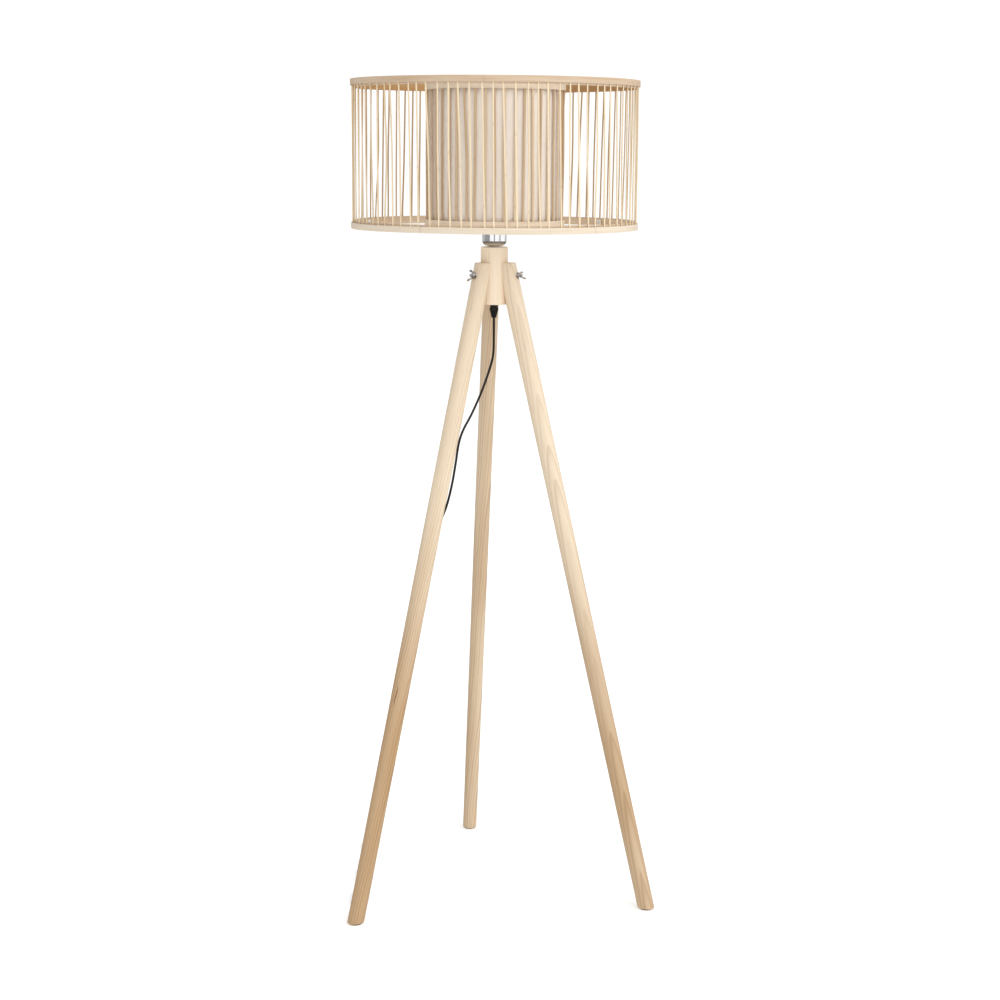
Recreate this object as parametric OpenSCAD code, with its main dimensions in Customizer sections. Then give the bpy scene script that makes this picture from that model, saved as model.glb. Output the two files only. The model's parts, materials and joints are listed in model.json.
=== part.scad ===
// Tripod floor lamp: a double slatted drum shade on a turned wooden hub with
// three splayed legs. Millimetres, +Z up. The origin lies on the floor at the
// middle of the lamp's plan; the lamp's own axis stands at y = axis_y.
// One leg points to the back (+Y), the other two to the front left and right.

/* [Shade] */
// Outside radius of the big drum
drum_r = 250; // [235:5:265]
// Height of the shade's bottom rim above the floor
shade_z = 1210; // [1208:0.5:1212]
// Height of the shade
shade_h = 253; // [230:1:280]
// How many slats stand round the big drum
outer_slat_n = 84; // [60:2:100]
// How many slats stand round the small drum
inner_slat_n = 44; // [30:1:56]
// Outside radius of the small drum
core_r = 122; // [110:1:135]
// Height of the narrow outer hoops
hoop_h = 10.5; // [8:0.5:13]
// Height of the broad inner hoops
broad_hoop_h = 14; // [13:0.5:18]
// Width of one slat
slat_w = 3.6; // [3:0.1:4.5]
// Sideways shift from the head to the foot of every big drum slat
drum_twist = 5; // [0:0.5:6]

/* [Tripod] */
// Radius of the turned hub
hub_r = 23.75; // [23:0.25:25]
// Height of the hub's bottom face above the floor
hub_z = 1078; // [1076:0.5:1080]
// Distance of a leg's axis from the lamp's axis at the floor
foot_reach = 303; // [280:1:320]
// Distance of a leg's axis from the lamp's axis at the leg's top
top_reach = 23; // [22:0.5:24]
// Height of the level-cut top of a leg
leg_top_z = 1151; // [1149:0.5:1153]
// Radius of the leg's rounded edges at the top
leg_top_r = 14.2; // [13.5:0.1:15]
// Radius of the leg's rounded edges at the foot
leg_foot_r = 13.1; // [12.5:0.1:14]
// Height of the clamping studs
stud_z = 1130; // [1128:0.5:1132]

/* [Cord] */
// Diameter of the mains cord
cord_d = 4.2; // [4:0.1:4.4]
// Turns of the hank, side by side
hank_turns = 3; // [2:1:3]

/* [Hidden] */
$fn = 96;
fit = 0.05;                 // radial room of a turning fit
slack = 0.3;                // room left round loose pieces
leg_dirs = [210, 330, 90];  // left, right and back leg, as directions in plan
pad_h = 2;
leg_oval = 1.8;             // half distance between a leg's two edge centres
lean = atan((foot_reach - top_reach) / leg_top_z);
leg_tip = foot_reach - 1.2 + (leg_foot_r + leg_oval) / cos(lean);
axis_y = (drum_r - leg_tip) / 2;

hoop_t = 2.2;
slat_t = 1.6;
slat_gap = 1.7;             // room for the slats between two hoops
shade_top = shade_z + shade_h;
core_z = shade_z + 2;
core_top = shade_top - 3;
liner_t = 0.8;

hub_h = 100;
bore_r = 5.25;
tube_r = 5;
stud_r = 3;
spot_x = 43;                // distance of the washer's seat from the axis
washer_t = 1.2;
nut_x = spot_x + washer_t;
nut_turn = [60, 47, 30];    // how far each wing nut is turned on its stud

cup_z = hub_z + hub_h + 2;
cup_r = 21.4;
cup_h = shade_z - cup_z;
holder_r = 19.75;
holder_top = shade_z + 30;
plate_t = 2;
ring_z = shade_z + plate_t + slack;

grip_z = 1054;
strip_x = -239.4;           // where the line that the cord lies along crosses the axis plane
strip_dir = -8.15;          // and its turn away from +Y
lead_z = 6.5;               // height of the cord where it enters switch and plug
switch_y = -74;
switch_l = 58;
switch_w = 20;
switch_h = 13;
split_z = 7;                // joint between the switch's two halves
rocker_z = 9.5;
rocker_y = switch_y + switch_l / 2;
hank_y = 26;
hank_run = 84;
hank_w = 7 * cord_d;
hank_z = 1.2;
hank_low = hank_z + cord_d / 2;     // middle of the hank's lowest run
plug_y = 184;
plug_l = 50;

// ---- helpers ----

module on_axis(z = 0) {
  translate([0, axis_y, z]) children();
}

module tube(r_out, r_in, h) {
  difference() {
    cylinder(h = h, r = r_out);
    translate([0, 0, -1]) cylinder(h = h + 2, r = r_in);
  }
}

// a leg's own place: local +X points away from the lamp's axis
module leg_place(i) {
  on_axis() rotate([0, 0, leg_dirs[i]]) children();
}

// an oval disc that the leg is stretched between
module oval_disc(r, z) {
  for (side = [-1, 1])
    translate([side * leg_oval, 0, z]) cylinder(h = 0.5, r = r, $fn = 40);
}

module leg_stick() {
  long = leg_top_z / cos(lean);
  translate([foot_reach, 0, 0]) rotate([0, -lean, 0])
    hull() {
      oval_disc(leg_foot_r, -12);
      oval_disc(leg_top_r, long + 12);
    }
}

// the level cuts at foot and top, each with a small chamfer
module leg_limits() {
  cut = 3;
  foot_edge = leg_foot_r - 1.8;
  top_edge = leg_top_r - 1.2;
  for (side = [-leg_oval, leg_oval]) {
    translate([foot_reach - 1 + side, 0, pad_h])
      cylinder(h = cut, r1 = foot_edge, r2 = foot_edge + cut);
    translate([top_reach + side, 0, leg_top_z - cut])
      cylinder(h = cut, r1 = top_edge + cut, r2 = top_edge);
  }
  translate([-20, -40, pad_h + cut]) cube([foot_reach + 60, 80, leg_top_z - pad_h - 2 * cut]);
}

module leg(i) {
  leg_place(i) difference() {
    intersection() {
      leg_stick();
      leg_limits();
    }
    cylinder(h = leg_top_z + 50, r = hub_r + fit);
    translate([0, 0, stud_z]) rotate([0, 90, 0]) cylinder(h = 80, r = stud_r + slack);
    translate([spot_x, 0, stud_z]) rotate([0, 90, 0]) cylinder(h = 30, r = 7.2);
  }
}

// ---- tripod ----

module hub() {
  edge = 1.5;
  color("BurlyWood") on_axis(hub_z) difference() {
    rotate_extrude() polygon([[bore_r, 0], [hub_r - edge, 0], [hub_r, edge],
      [hub_r, hub_h - edge], [hub_r - edge, hub_h], [bore_r, hub_h]]);
    for (d = leg_dirs)
      rotate([0, 0, d]) translate([9, 0, stud_z - hub_z]) rotate([0, 90, 0])
        cylinder(h = hub_r, r = stud_r + fit);
  }
}

module leg_left() color("BurlyWood") leg(0);
module leg_right() color("BurlyWood") leg(1);
module leg_back() color("BurlyWood") leg(2);

module foot_pads() {
  color("DimGray") for (i = [0:2])
    leg_place(i) translate([foot_reach - 0.5, 0, 0]) cylinder(h = pad_h, r = 11);
}

module leg_studs() {
  color("Silver") for (i = [0:2])
    leg_place(i) translate([9.5, 0, stud_z]) rotate([0, 90, 0]) cylinder(h = 44.5, r = stud_r);
}

module leg_washers() {
  color("Silver") for (i = [0:2])
    leg_place(i) translate([spot_x, 0, stud_z]) rotate([0, 90, 0])
      tube(6.2, stud_r + slack, washer_t);
}

// one ear of the wing nut, drawn beside the stud and standing off the boss
module wing_ear() {
  polygon([[3.4, 0.8], [4.8, 0.8], [12.6, 7.6], [8.0, 12.0], [3.4, 5.6]]);
  translate([9.7, 9.7]) circle(r = 3.9);
}

module wing_nut(i) {
  boss_h = 8;
  color("Silver") leg_place(i) translate([nut_x + 0.05, 0, stud_z])
    rotate([0, 90, 0]) rotate([0, 0, nut_turn[i]]) difference() {
      union() {
        cylinder(h = boss_h, r1 = 5.6, r2 = 4.4);
        for (side = [0, 180])
          rotate([0, 0, side]) translate([0, 1.15, 0]) rotate([90, 0, 0])
            linear_extrude(height = 2.3) wing_ear();
      }
      translate([0, 0, -1]) cylinder(h = boss_h + 2, r = stud_r + fit);
    }
}

module wing_nut_left() wing_nut(0);
module wing_nut_right() wing_nut(1);
module wing_nut_back() wing_nut(2);

// ---- lampholder ----

module thread_tube() {
  color("Silver") on_axis(hub_z - 8) tube(tube_r, 3.2, hub_h + 16);
}

module seat_nut() {
  color("Silver") on_axis(hub_z + hub_h) tube(8.5, tube_r + fit, 2);
}

module cup_outline(r, low, round) {
  translate([0, low]) square([r - round, 40]);
  translate([0, low + round]) square([r, 40 - round]);
  translate([r - round, low + round]) circle(r = round);
}

module lamp_cup() {
  wall = 0.9;
  color("LightGray") on_axis(cup_z) rotate_extrude() intersection() {
    difference() {
      cup_outline(cup_r, 0, 9);
      cup_outline(cup_r - wall, wall, 9 - wall);
      square([tube_r + fit, 2]);
    }
    square([cup_r, cup_h]);
  }
}

module cup_nut() {
  color("Silver") on_axis(cup_z + 0.9) difference() {
    cylinder(h = 3.5, r = 8, $fn = 6);
    translate([0, 0, -1]) cylinder(h = 6, r = tube_r + fit);
  }
}

// the insulating insert: a closed floor below, an open well for the cap above
module holder_body() {
  well = 14.6;
  floor_z = shade_z - 8;
  foot_z = cup_z + 11;
  nut_top = cup_z + 4.4;
  color("WhiteSmoke") on_axis() difference() {
    union() {
      translate([0, 0, foot_z]) cylinder(h = holder_top - foot_z, r = holder_r);
      translate([0, 0, nut_top]) cylinder(h = foot_z - nut_top + 1, r = 9);
    }
    translate([0, 0, floor_z]) cylinder(h = 60, r = well);
    translate([0, 0, nut_top - 1]) cylinder(h = 4, r = tube_r + slack);
  }
}

module holder_screw_shell() {
  color("Goldenrod") on_axis(shade_z - 4) tube(14.5, 13.7, 28);
}

module holder_contact() {
  color("Goldenrod") on_axis(shade_z - 8) {
    translate([-5, -2.5, 0]) cube([10, 5, 0.8]);
    translate([-2, -2.5, 0.8]) cube([4, 5, 1.6]);
  }
}

module shade_ring() {
  color("WhiteSmoke") on_axis(ring_z) difference() {
    union() {
      cylinder(h = 2, r = 26);
      cylinder(h = 9, r = 23);
      for (a = [0:30:330]) rotate([0, 0, a]) translate([22.6, -1.2, 0]) cube([1.4, 2.4, 9]);
    }
    translate([0, 0, -1]) cylinder(h = 12, r = holder_r + fit);
  }
}

// ---- shade ----

module spider() {
  arm_w = 10;
  tab_t = 1.8;
  reach = drum_r - 2 * hoop_t - slat_gap - fit;
  color("Gainsboro") on_axis(shade_z) {
    linear_extrude(height = plate_t) difference() {
      union() {
        circle(r = 32);
        for (a = [30, 150, 270]) rotate([0, 0, a])
          translate([0, -arm_w / 2]) square([reach - 1, arm_w]);
      }
      circle(r = holder_r + 0.4);
    }
    for (a = [30, 150, 270]) rotate([0, 0, a]) translate([reach - 1 - tab_t, -arm_w / 2, 0])
      cube([tab_t, arm_w, 11]);
  }
}

// a pair of hoops with the slats between them, by radius of the outer face
module outside_hoop(r, z, h) {
  color("Tan") on_axis(z) tube(r, r - hoop_t, h);
}

module inside_band(r, z, h) {
  out = r - hoop_t - slat_gap;
  color("Tan") on_axis(z) tube(out, out - hoop_t, h);
}

module drum_top_hoop() outside_hoop(drum_r, shade_top - hoop_h, hoop_h);
module drum_top_band() inside_band(drum_r, shade_top - broad_hoop_h, broad_hoop_h);
module drum_bottom_hoop() outside_hoop(drum_r, shade_z, hoop_h);
module drum_bottom_band() inside_band(drum_r, shade_z, broad_hoop_h);

module core_top_hoop() outside_hoop(core_r, core_top - broad_hoop_h, broad_hoop_h);
module core_top_band() inside_band(core_r, core_top - broad_hoop_h, broad_hoop_h);
module core_bottom_hoop() outside_hoop(core_r, core_z, broad_hoop_h);
module core_bottom_band() inside_band(core_r, core_z, broad_hoop_h);

// slats split by hand never stand quite even: head and foot wander a little
module slat_ring(n, r, z, h, twist, wander) {
  color("Wheat") on_axis(z) for (i = [0:n - 1]) {
    head = wander * sin(i * 97) - twist / 2;
    foot = wander * sin(i * 151 + 40) + twist / 2;
    at = 360 / n * i + (head + foot) / 2 / r * 180 / PI;
    rotate([0, 0, at]) translate([r, 0, h / 2]) rotate([atan((foot - head) / h), 0, 0])
      cube([slat_t, slat_w, h - 1.4], center = true);
  }
}

module drum_slats() {
  slat_ring(outer_slat_n, drum_r - hoop_t - slat_gap / 2, shade_z, shade_h, drum_twist, 1.9);
}

module core_slats() {
  slat_ring(inner_slat_n, core_r - hoop_t - slat_gap / 2, core_z, core_top - core_z, 0, 1.5);
}

module liner() {
  out = core_r - 2 * hoop_t - slat_gap - fit;
  color("Linen") on_axis(core_z + 0.5) tube(out, out - liner_t, core_top - core_z - 1);
}

// ---- bulb ----

module bulb_glass() {
  neck_z = shade_z + 27;
  ball_r = 30;
  ball_z = neck_z + 54;
  skin = 1.2;
  color("Ivory") on_axis() rotate_extrude() intersection() {
    difference() {
      union() {
        translate([0, ball_z]) circle(r = ball_r);
        polygon([[0, neck_z], [13.4, neck_z], [15.5, neck_z + 12], [28, ball_z - 10.8],
          [0, ball_z - 10.8]]);
      }
      translate([0, ball_z]) circle(r = ball_r - skin);
      polygon([[0, neck_z - 1], [12.2, neck_z - 1], [14.2, neck_z + 12], [26.4, ball_z - 10.8],
        [0, ball_z - 10.8]]);
    }
    translate([0, neck_z]) square([40, 120]);
  }
}

module bulb_cap() {
  low = shade_z - 1.5;
  color("Silver") on_axis(low) rotate_extrude()
    polygon([[3.2, 0], [9, 0], [13.2, 4], [13.2, 28.5], [12.4, 28.5], [12.4, 4.4],
      [8.7, 0.8], [3.2, 0.8]]);
}

module bulb_tip() {
  color("Silver") on_axis(shade_z - 5.2) cylinder(h = 4.6, r = 3);
}

// ---- cord ----

module grip_body() {
  color("Black") on_axis(hub_z - 6.5) tube(6.7, tube_r + fit, 6.5);
}

module grip_nut() {
  color("Black") on_axis(grip_z) difference() {
    rotate_extrude() polygon([[cord_d / 2 + 0.3, 0], [3.5, 0], [4.2, 0.7], [7.1, 12.5],
      [7.6, 12.8], [7.6, 17.5], [cord_d / 2 + 0.3, 17.5]]);
    translate([0, 0, 15.9]) cylinder(h = 5, r = tube_r + slack);
  }
}

// a smooth line through the chosen points
function bend(a, b, c, d, t) =
  0.5 * (2 * b + (c - a) * t + (2 * a - 5 * b + 4 * c - d) * t * t
    + (3 * b - a - 3 * c + d) * t * t * t);
function pick(p, k) = p[max(0, min(len(p) - 1, k))];
function flow(p, steps) = concat([for (k = [0:len(p) - 2]) for (s = [0:steps - 1])
  bend(pick(p, k - 1), p[k], p[k + 1], pick(p, k + 2), s / steps)], [p[len(p) - 1]]);
function unit(v) = v / norm(v);
function along(p, k, first, last) = k == 0 ? first : k == len(p) - 1 ? last
  : unit(p[k + 1] - p[k - 1]);

// a round cord swept along the line, with flat ends square to first and last
module cord_tube(p, first, last) {
  sides = 8;
  n = len(p);
  verts = [for (k = [0:n - 1])
    let (t = along(p, k, first, last), u = unit(cross(t, [1, 0, 0])), v = cross(t, u))
    for (s = [0:sides - 1])
      p[k] + cord_d / 2 * (cos(s * 360 / sides) * u + sin(s * 360 / sides) * v)];
  walls = [for (k = [0:n - 2]) for (s = [0:sides - 1])
    [k * sides + s, k * sides + (s + 1) % sides, (k + 1) * sides + (s + 1) % sides,
      (k + 1) * sides + s]];
  quads = [for (w = walls) each [[w[0], w[1], w[2]], [w[0], w[2], w[3]]]];
  front = [for (s = [sides - 1:-1:0]) s];
  rear = [for (s = [0:sides - 1]) (n - 1) * sides + s];
  polyhedron(points = verts, faces = concat([front], quads, [rear]));
}

// a point on the cord's line on the floor, y along it and x to its right
function strip_at(y, z, x = 0) = [strip_x + x * cos(strip_dir) - y * sin(strip_dir),
  x * sin(strip_dir) + y * cos(strip_dir), z];
function strip_way() = [-sin(strip_dir), cos(strip_dir), 0];

// from the grip down to the left leg, behind it to the floor, then to the switch
drop_points = [[0, 0, grip_z], [0, 0, 1020], [-1, -1, 990], [-6.5, -3, 967],
  [-22, -14, 928], [-41, -27, 890], [-59, -41, 861], [-67.5, -46, 838],
  [-74, -51, 801], [-80.5, -54, 766], [-90, -56, 729], [-101, -54, 700],
  [-115, -55.5, 660], [-128.5, -62.5, 600], [-160, -80.5, 450], [-191.5, -99, 300],
  [-217, -113.5, 180], [-242, -128, 60], [-246, -129.5, 36], [-248.5, -127, 18],
  [-250, -120, 6.5], [-251, -108, 2.3], strip_at(-92, 3), strip_at(switch_y, lead_z)];
// into the bottom of the hank at its near end, and out of it at its far end
link_points = [strip_at(switch_y + switch_l, lead_z), strip_at(-5, 6.2, -0.3),
  strip_at(9, 4.7, -2.2), strip_at(24, hank_low, -4),
  strip_at(hank_y + hank_w / 2, hank_low, -cord_d)];
tail_points = [strip_at(hank_y + hank_w / 2 + hank_run, hank_low, cord_d), strip_at(141, hank_low, 4),
  strip_at(158, 4.6, 2.2), strip_at(173, 6.2, 0.3), strip_at(plug_y, lead_z)];

module strip(y = 0) {
  on_axis() translate([strip_x, 0, 0]) rotate([0, 0, strip_dir]) translate([0, y, 0]) children();
}

module cord_drop() {
  color("Black") on_axis() cord_tube(flow(drop_points, 3), [0, 0, -1], strip_way());
}

module cord_link() {
  color("Black") on_axis() cord_tube(flow(link_points, 2), strip_way(), strip_way());
}

module cord_tail() {
  color("Black") on_axis() cord_tube(flow(tail_points, 2), strip_way(), strip_way());
}

module cord_clips() {
  long = 8;
  color("WhiteSmoke") for (at = [[-122.9, -59.6, 625], [-229.7, -121, 120]]) difference() {
    on_axis() translate(at) rotate([0, 0, -26]) translate([-4.5, -9, -long / 2])
      cube([9, 13, long]);
    leg_place(0) leg_stick();
    on_axis() translate(at) rotate([0, 0, leg_dirs[0]]) rotate([0, -lean, 0])
      cylinder(h = 3 * long, r = cord_d / 2 + slack, center = true);
  }
}

module hank_outline(grow) {
  r = hank_w / 2 + grow;
  for (y = [hank_w / 2, hank_w / 2 + hank_run]) translate([y, hank_w / 2]) circle(r = r);
  translate([hank_w / 2, -grow]) square([hank_run, 2 * r]);
}

module cord_hank() {
  thick = hank_turns * cord_d;
  color("Black") strip(hank_y) translate([thick / 2, 0, hank_z]) rotate([90, 0, -90])
    mirror([1, 0, 0]) linear_extrude(height = thick) hank_outline(0);
}

module cord_tie() {
  tie_w = 10;
  tie_t = 1;
  gap = 0.1;
  inner_x = hank_turns * cord_d + 2 * gap;
  inner_z = hank_w + 2 * gap;
  color("DimGray") strip(hank_y + hank_w / 2 + 30)
    translate([-inner_x / 2, 0, hank_z - gap]) difference() {
      translate([-tie_t, 0, -tie_t]) cube([inner_x + 2 * tie_t, tie_w, inner_z + 2 * tie_t]);
      translate([0, -1, 0]) cube([inner_x, tie_w + 2, inner_z]);
    }
}

// ---- switch on the cord ----

module pill(w, l, r, h) {
  linear_extrude(height = h) {
    translate([-w / 2, r]) square([w, l - 2 * r]);
    translate([-w / 2 + r, 0]) square([w - 2 * r, l]);
    for (x = [r - w / 2, w / 2 - r], y = [r, l - r]) translate([x, y]) circle(r = r);
  }
}

module switch_base() {
  color("Black") difference() {
    strip(switch_y) pill(switch_w, switch_l, 5, split_z);
    strip(rocker_y) translate([-4.5, -8, 2.5]) cube([9, 16, split_z]);
  }
}

module switch_cover() {
  color("Black") difference() {
    strip(switch_y) translate([0, 0, split_z]) pill(switch_w, switch_l, 5, switch_h - split_z);
    strip(rocker_y) {
      translate([-4.5, -8, split_z - 1]) cube([9, 16, switch_h]);
      translate([-6.5, 0, rocker_z]) rotate([0, 90, 0]) cylinder(h = 13, r = 1.2 + fit);
    }
  }
}

module switch_rocker() {
  tilt = 7;
  color("Black") strip(rocker_y) translate([0, 0, rocker_z]) rotate([tilt, 0, 0]) {
    translate([-4.2, 0, 0]) rotate([90, 0, 90]) linear_extrude(height = 8.4)
      polygon([[-7, 0], [-5, -2.2], [5, -2.2], [7, 0], [7, 4.4], [0, 3.5], [-7, 4.4]]);
    rotate([0, 90, 0]) cylinder(h = 12, r = 1.2, center = true);
  }
}

// ---- plug ----

module plug_body() {
  boot_l = 20;
  color("Black") strip(plug_y) {
    translate([0, 0, lead_z]) rotate([-90, 0, 0]) cylinder(h = boot_l, r1 = 3.4, r2 = 5);
    linear_extrude(height = 2 * lead_z)
      polygon([[-5.5, boot_l - 1], [5.5, boot_l - 1], [10.5, boot_l + 8], [12, plug_l - 4],
        [12, plug_l], [-12, plug_l], [-12, plug_l - 4], [-10.5, boot_l + 8]]);
  }
}

module plug_blades() {
  blade_l = 17.5;
  color("Silver") strip(plug_y + plug_l) for (x = [-6.35, 6.35])
    translate([x - 0.75, 0, lead_z - 3.15]) cube([1.5, blade_l, 6.3]);
}

hub();
leg_left();
leg_right();
leg_back();
foot_pads();
leg_studs();
leg_washers();
wing_nut_left();
wing_nut_right();
wing_nut_back();
thread_tube();
seat_nut();
lamp_cup();
cup_nut();
holder_body();
holder_screw_shell();
holder_contact();
shade_ring();
spider();
drum_top_hoop();
drum_top_band();
drum_bottom_hoop();
drum_bottom_band();
drum_slats();
core_top_hoop();
core_top_band();
core_bottom_hoop();
core_bottom_band();
core_slats();
liner();
bulb_glass();
bulb_cap();
bulb_tip();
grip_body();
grip_nut();
cord_clips();
cord_drop();
switch_base();
switch_cover();
switch_rocker();
cord_link();
cord_hank();
cord_tie();
cord_tail();
plug_body();
plug_blades();
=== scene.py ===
# %% [markdown]
# # A tripod floor lamp with a slatted drum shade
# The lamp stands on three wooden legs that are clamped to a turned hub. A chrome cup on the
# hub hides the lampholder, and the lampholder carries a drum shade of split bamboo slats
# with a smaller, lined drum inside it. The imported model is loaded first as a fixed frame.
# Every piece made below takes its place from that frame, in metres, with +Z up.

# %% Load the frame
import json
import math
import random

import bmesh
import bpy
import numpy as np
from mathutils import Matrix, Vector
from mathutils.geometry import convex_hull_2d

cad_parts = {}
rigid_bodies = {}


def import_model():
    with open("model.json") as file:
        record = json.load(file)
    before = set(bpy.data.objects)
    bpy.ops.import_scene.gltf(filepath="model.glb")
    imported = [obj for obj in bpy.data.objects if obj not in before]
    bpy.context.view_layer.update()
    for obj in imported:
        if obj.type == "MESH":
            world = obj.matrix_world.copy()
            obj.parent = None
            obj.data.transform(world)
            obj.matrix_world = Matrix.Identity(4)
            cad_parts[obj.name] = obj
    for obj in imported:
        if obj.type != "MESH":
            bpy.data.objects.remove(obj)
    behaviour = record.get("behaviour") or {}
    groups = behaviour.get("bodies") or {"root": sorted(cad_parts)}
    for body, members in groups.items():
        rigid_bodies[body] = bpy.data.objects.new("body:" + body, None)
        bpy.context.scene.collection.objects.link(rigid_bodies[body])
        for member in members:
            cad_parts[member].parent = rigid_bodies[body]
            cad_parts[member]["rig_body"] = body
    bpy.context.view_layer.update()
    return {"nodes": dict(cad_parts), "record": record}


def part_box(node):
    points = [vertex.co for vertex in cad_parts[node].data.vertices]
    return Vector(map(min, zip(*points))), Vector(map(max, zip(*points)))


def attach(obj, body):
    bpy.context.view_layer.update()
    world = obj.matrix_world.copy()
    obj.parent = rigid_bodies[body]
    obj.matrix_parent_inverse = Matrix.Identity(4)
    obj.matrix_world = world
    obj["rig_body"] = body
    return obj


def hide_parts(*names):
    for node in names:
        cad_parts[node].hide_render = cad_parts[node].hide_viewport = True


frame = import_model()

MM = 0.001
record = frame["record"]
nodes = frame["nodes"]

# %% [markdown]
# ## Measures that the whole lamp hangs on
# The lamp's upright axis is the middle of the turned hub. Heights and radii are read from the
# frame wherever a piece needs them, so a change in the part moves that piece here as well.

# %% Measures
hub_low, hub_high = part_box("hub")
AXIS_X, AXIS_Y = (hub_low.x + hub_high.x) / 2, (hub_low.y + hub_high.y) / 2
hub_radius = (hub_high.x - hub_low.x) / 2
print(f"axis at y = {AXIS_Y:.4f}, hub radius {hub_radius:.4f}")


def on_axis(x, y, z):
    """A point given from the lamp's own axis, in metres."""
    return Vector((AXIS_X + x, AXIS_Y + y, z))


# %% [markdown]
# ## The camera
# A portrait lens a few metres off, level with the middle of the shade and tipped down, sees
# the shade nearly from its side and the feet from above. It stands a little to the left, so
# the left leg comes slightly nearer than the right one. The camera's three axes are worked
# out from its heading, its tip and a trace of roll, which is clearer than three Euler angles.

# %% Make the camera
camera_place = Vector((-0.4752, -3.3517, 1.3484))
heading, tip_down, roll = (math.radians(a) for a in (8.37, 10.5, 0.38))
lens_mm = 68.4

ahead = Vector((math.sin(heading) * math.cos(tip_down), math.cos(heading) * math.cos(tip_down),
                -math.sin(tip_down)))
level = Vector((math.cos(heading), -math.sin(heading), 0))
upward = level.cross(ahead)
right = level * math.cos(roll) + upward * math.sin(roll)
upward = upward * math.cos(roll) - level * math.sin(roll)

lens = bpy.data.cameras.new("camera")
lens.lens = lens_mm
lens.sensor_width = 36
camera = bpy.data.objects.new("camera", lens)
camera.matrix_world = Matrix.Translation(camera_place) @ Matrix(
    (right, upward, -ahead)).transposed().to_4x4()
bpy.context.scene.collection.objects.link(camera)
bpy.context.scene.camera = camera
print(f"camera {camera_place.length:.2f} m from the origin")

# %% [markdown]
# ## Helpers that make meshes
# Most pieces here are skins laid over rings of points: a turned hub, a bent hoop, a slat and
# a cord are all "the same outline, again and again". One function lays the skin, so each
# piece only has to say where its rings are.


# %% Helpers for pieces
def show(name, mesh, body, sharp):
    """Puts a mesh in the scene as a piece that rides on a body, smooth except at sharp edges."""
    mesh.validate()
    mesh.shade_smooth()
    mesh.set_sharp_from_angle(angle=math.radians(sharp))
    piece = bpy.data.objects.new(name, mesh)
    bpy.context.scene.collection.objects.link(piece)
    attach(piece, body)
    return piece


def build(name, parts):
    """One mesh from skins over rings of points. A part is (rings, loop): a loop's last ring
    joins its first, and any other part gets a flat cap on each end."""
    verts, faces = [], []
    for rings, loop in parts:
        rings, first = np.asarray(rings, float), len(verts)
        count, sides = rings.shape[:2]
        for k in range(count if loop else count - 1):
            a, b = first + k * sides, first + (k + 1) % count * sides
            faces += [(a + s, a + (s + 1) % sides, b + (s + 1) % sides, b + s) for s in range(sides)]
        if not loop:
            faces.append(tuple(first + s for s in range(sides - 1, -1, -1)))
            faces.append(tuple(first + (count - 1) * sides + s for s in range(sides)))
        verts += rings.reshape(-1, 3).tolist()
    mesh = bpy.data.meshes.new(name)
    mesh.from_pydata(verts, [], faces)
    bm = bmesh.new()
    bm.from_mesh(mesh)
    bmesh.ops.remove_doubles(bm, verts=bm.verts, dist=1e-6)
    bmesh.ops.recalc_face_normals(bm, faces=bm.faces)
    bm.to_mesh(mesh)
    bm.free()
    return mesh


def moved(rings, matrix):
    """Rings of points taken from a piece's own frame to where the piece sits."""
    m = np.array(matrix)
    return np.asarray(rings, float) @ m[:3, :3].T + m[:3, 3]


upright = Matrix.Translation(on_axis(0, 0, 0))


def turned(outline, segments=128, matrix=upright):
    """A closed outline of (radius, height) points turned about a piece's own axis."""
    outline, a = np.asarray(outline, float), np.linspace(0, 2 * math.pi, segments, endpoint=False)
    rings = np.stack([np.outer(np.cos(a), outline[:, 0]), np.outer(np.sin(a), outline[:, 0]),
                      np.tile(outline[:, 1], (segments, 1))], 2)
    return moved(rings, matrix), True


def rounded(corners, radii, steps=4):
    """A closed outline through corners, each rounded with its own radius by an arc."""
    points = []
    n = len(corners)
    for k in range(n):
        before, at, after = (np.asarray(corners[i % n], float) for i in (k - 1, k, k + 1))
        r = radii[k] if hasattr(radii, "__len__") else radii
        if r <= 0:
            points.append(at)
            continue
        u, v = before - at, after - at
        u, v = u / np.linalg.norm(u), v / np.linalg.norm(v)
        half = math.acos(np.clip(u @ v, -1, 1)) / 2
        reach, middle = r / math.tan(half), at + (u + v) / np.linalg.norm(u + v) * r / math.sin(half)
        start, end = at + u * reach - middle, at + v * reach - middle
        a0, a1 = math.atan2(start[1], start[0]), math.atan2(end[1], end[0])
        turn = (a1 - a0 + math.pi) % (2 * math.pi) - math.pi
        points += [middle + r * np.array([math.cos(a0 + turn * s / steps), math.sin(a0 + turn * s / steps)])
                   for s in range(steps + 1)]
    return np.array(points)


def box_outline(x0, y0, x1, y1, edge, steps=3):
    """A rectangle with rounded corners."""
    return rounded([(x0, y0), (x1, y0), (x1, y1), (x0, y1)], edge, steps)


def after_modifiers(piece):
    """The piece's mesh with its modifiers applied, which are then removed."""
    bpy.context.view_layer.update()
    shaped = piece.evaluated_get(bpy.context.evaluated_depsgraph_get())
    mesh = bpy.data.meshes.new_from_object(shaped)
    piece.modifiers.clear()
    piece.data = mesh
    return mesh


def write_vectors(mesh, name, values):
    """Stores three numbers for each vertex under a name that a material can read."""
    layer = mesh.attributes.new(name, "FLOAT_VECTOR", "POINT")
    layer.data.foreach_set("vector", np.asarray(values, np.float32).ravel())


def write_numbers(mesh, name, values):
    """Stores one number for each vertex, in the same way."""
    layer = mesh.attributes.new(name, "FLOAT", "POINT")
    layer.data.foreach_set("value", np.asarray(values, np.float32))


def points_of(mesh):
    """Where a mesh's vertices are, one row each."""
    co = np.zeros(len(mesh.vertices) * 3, np.float32)
    mesh.vertices.foreach_get("co", co)
    return co.reshape(-1, 3).astype(float)


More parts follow.
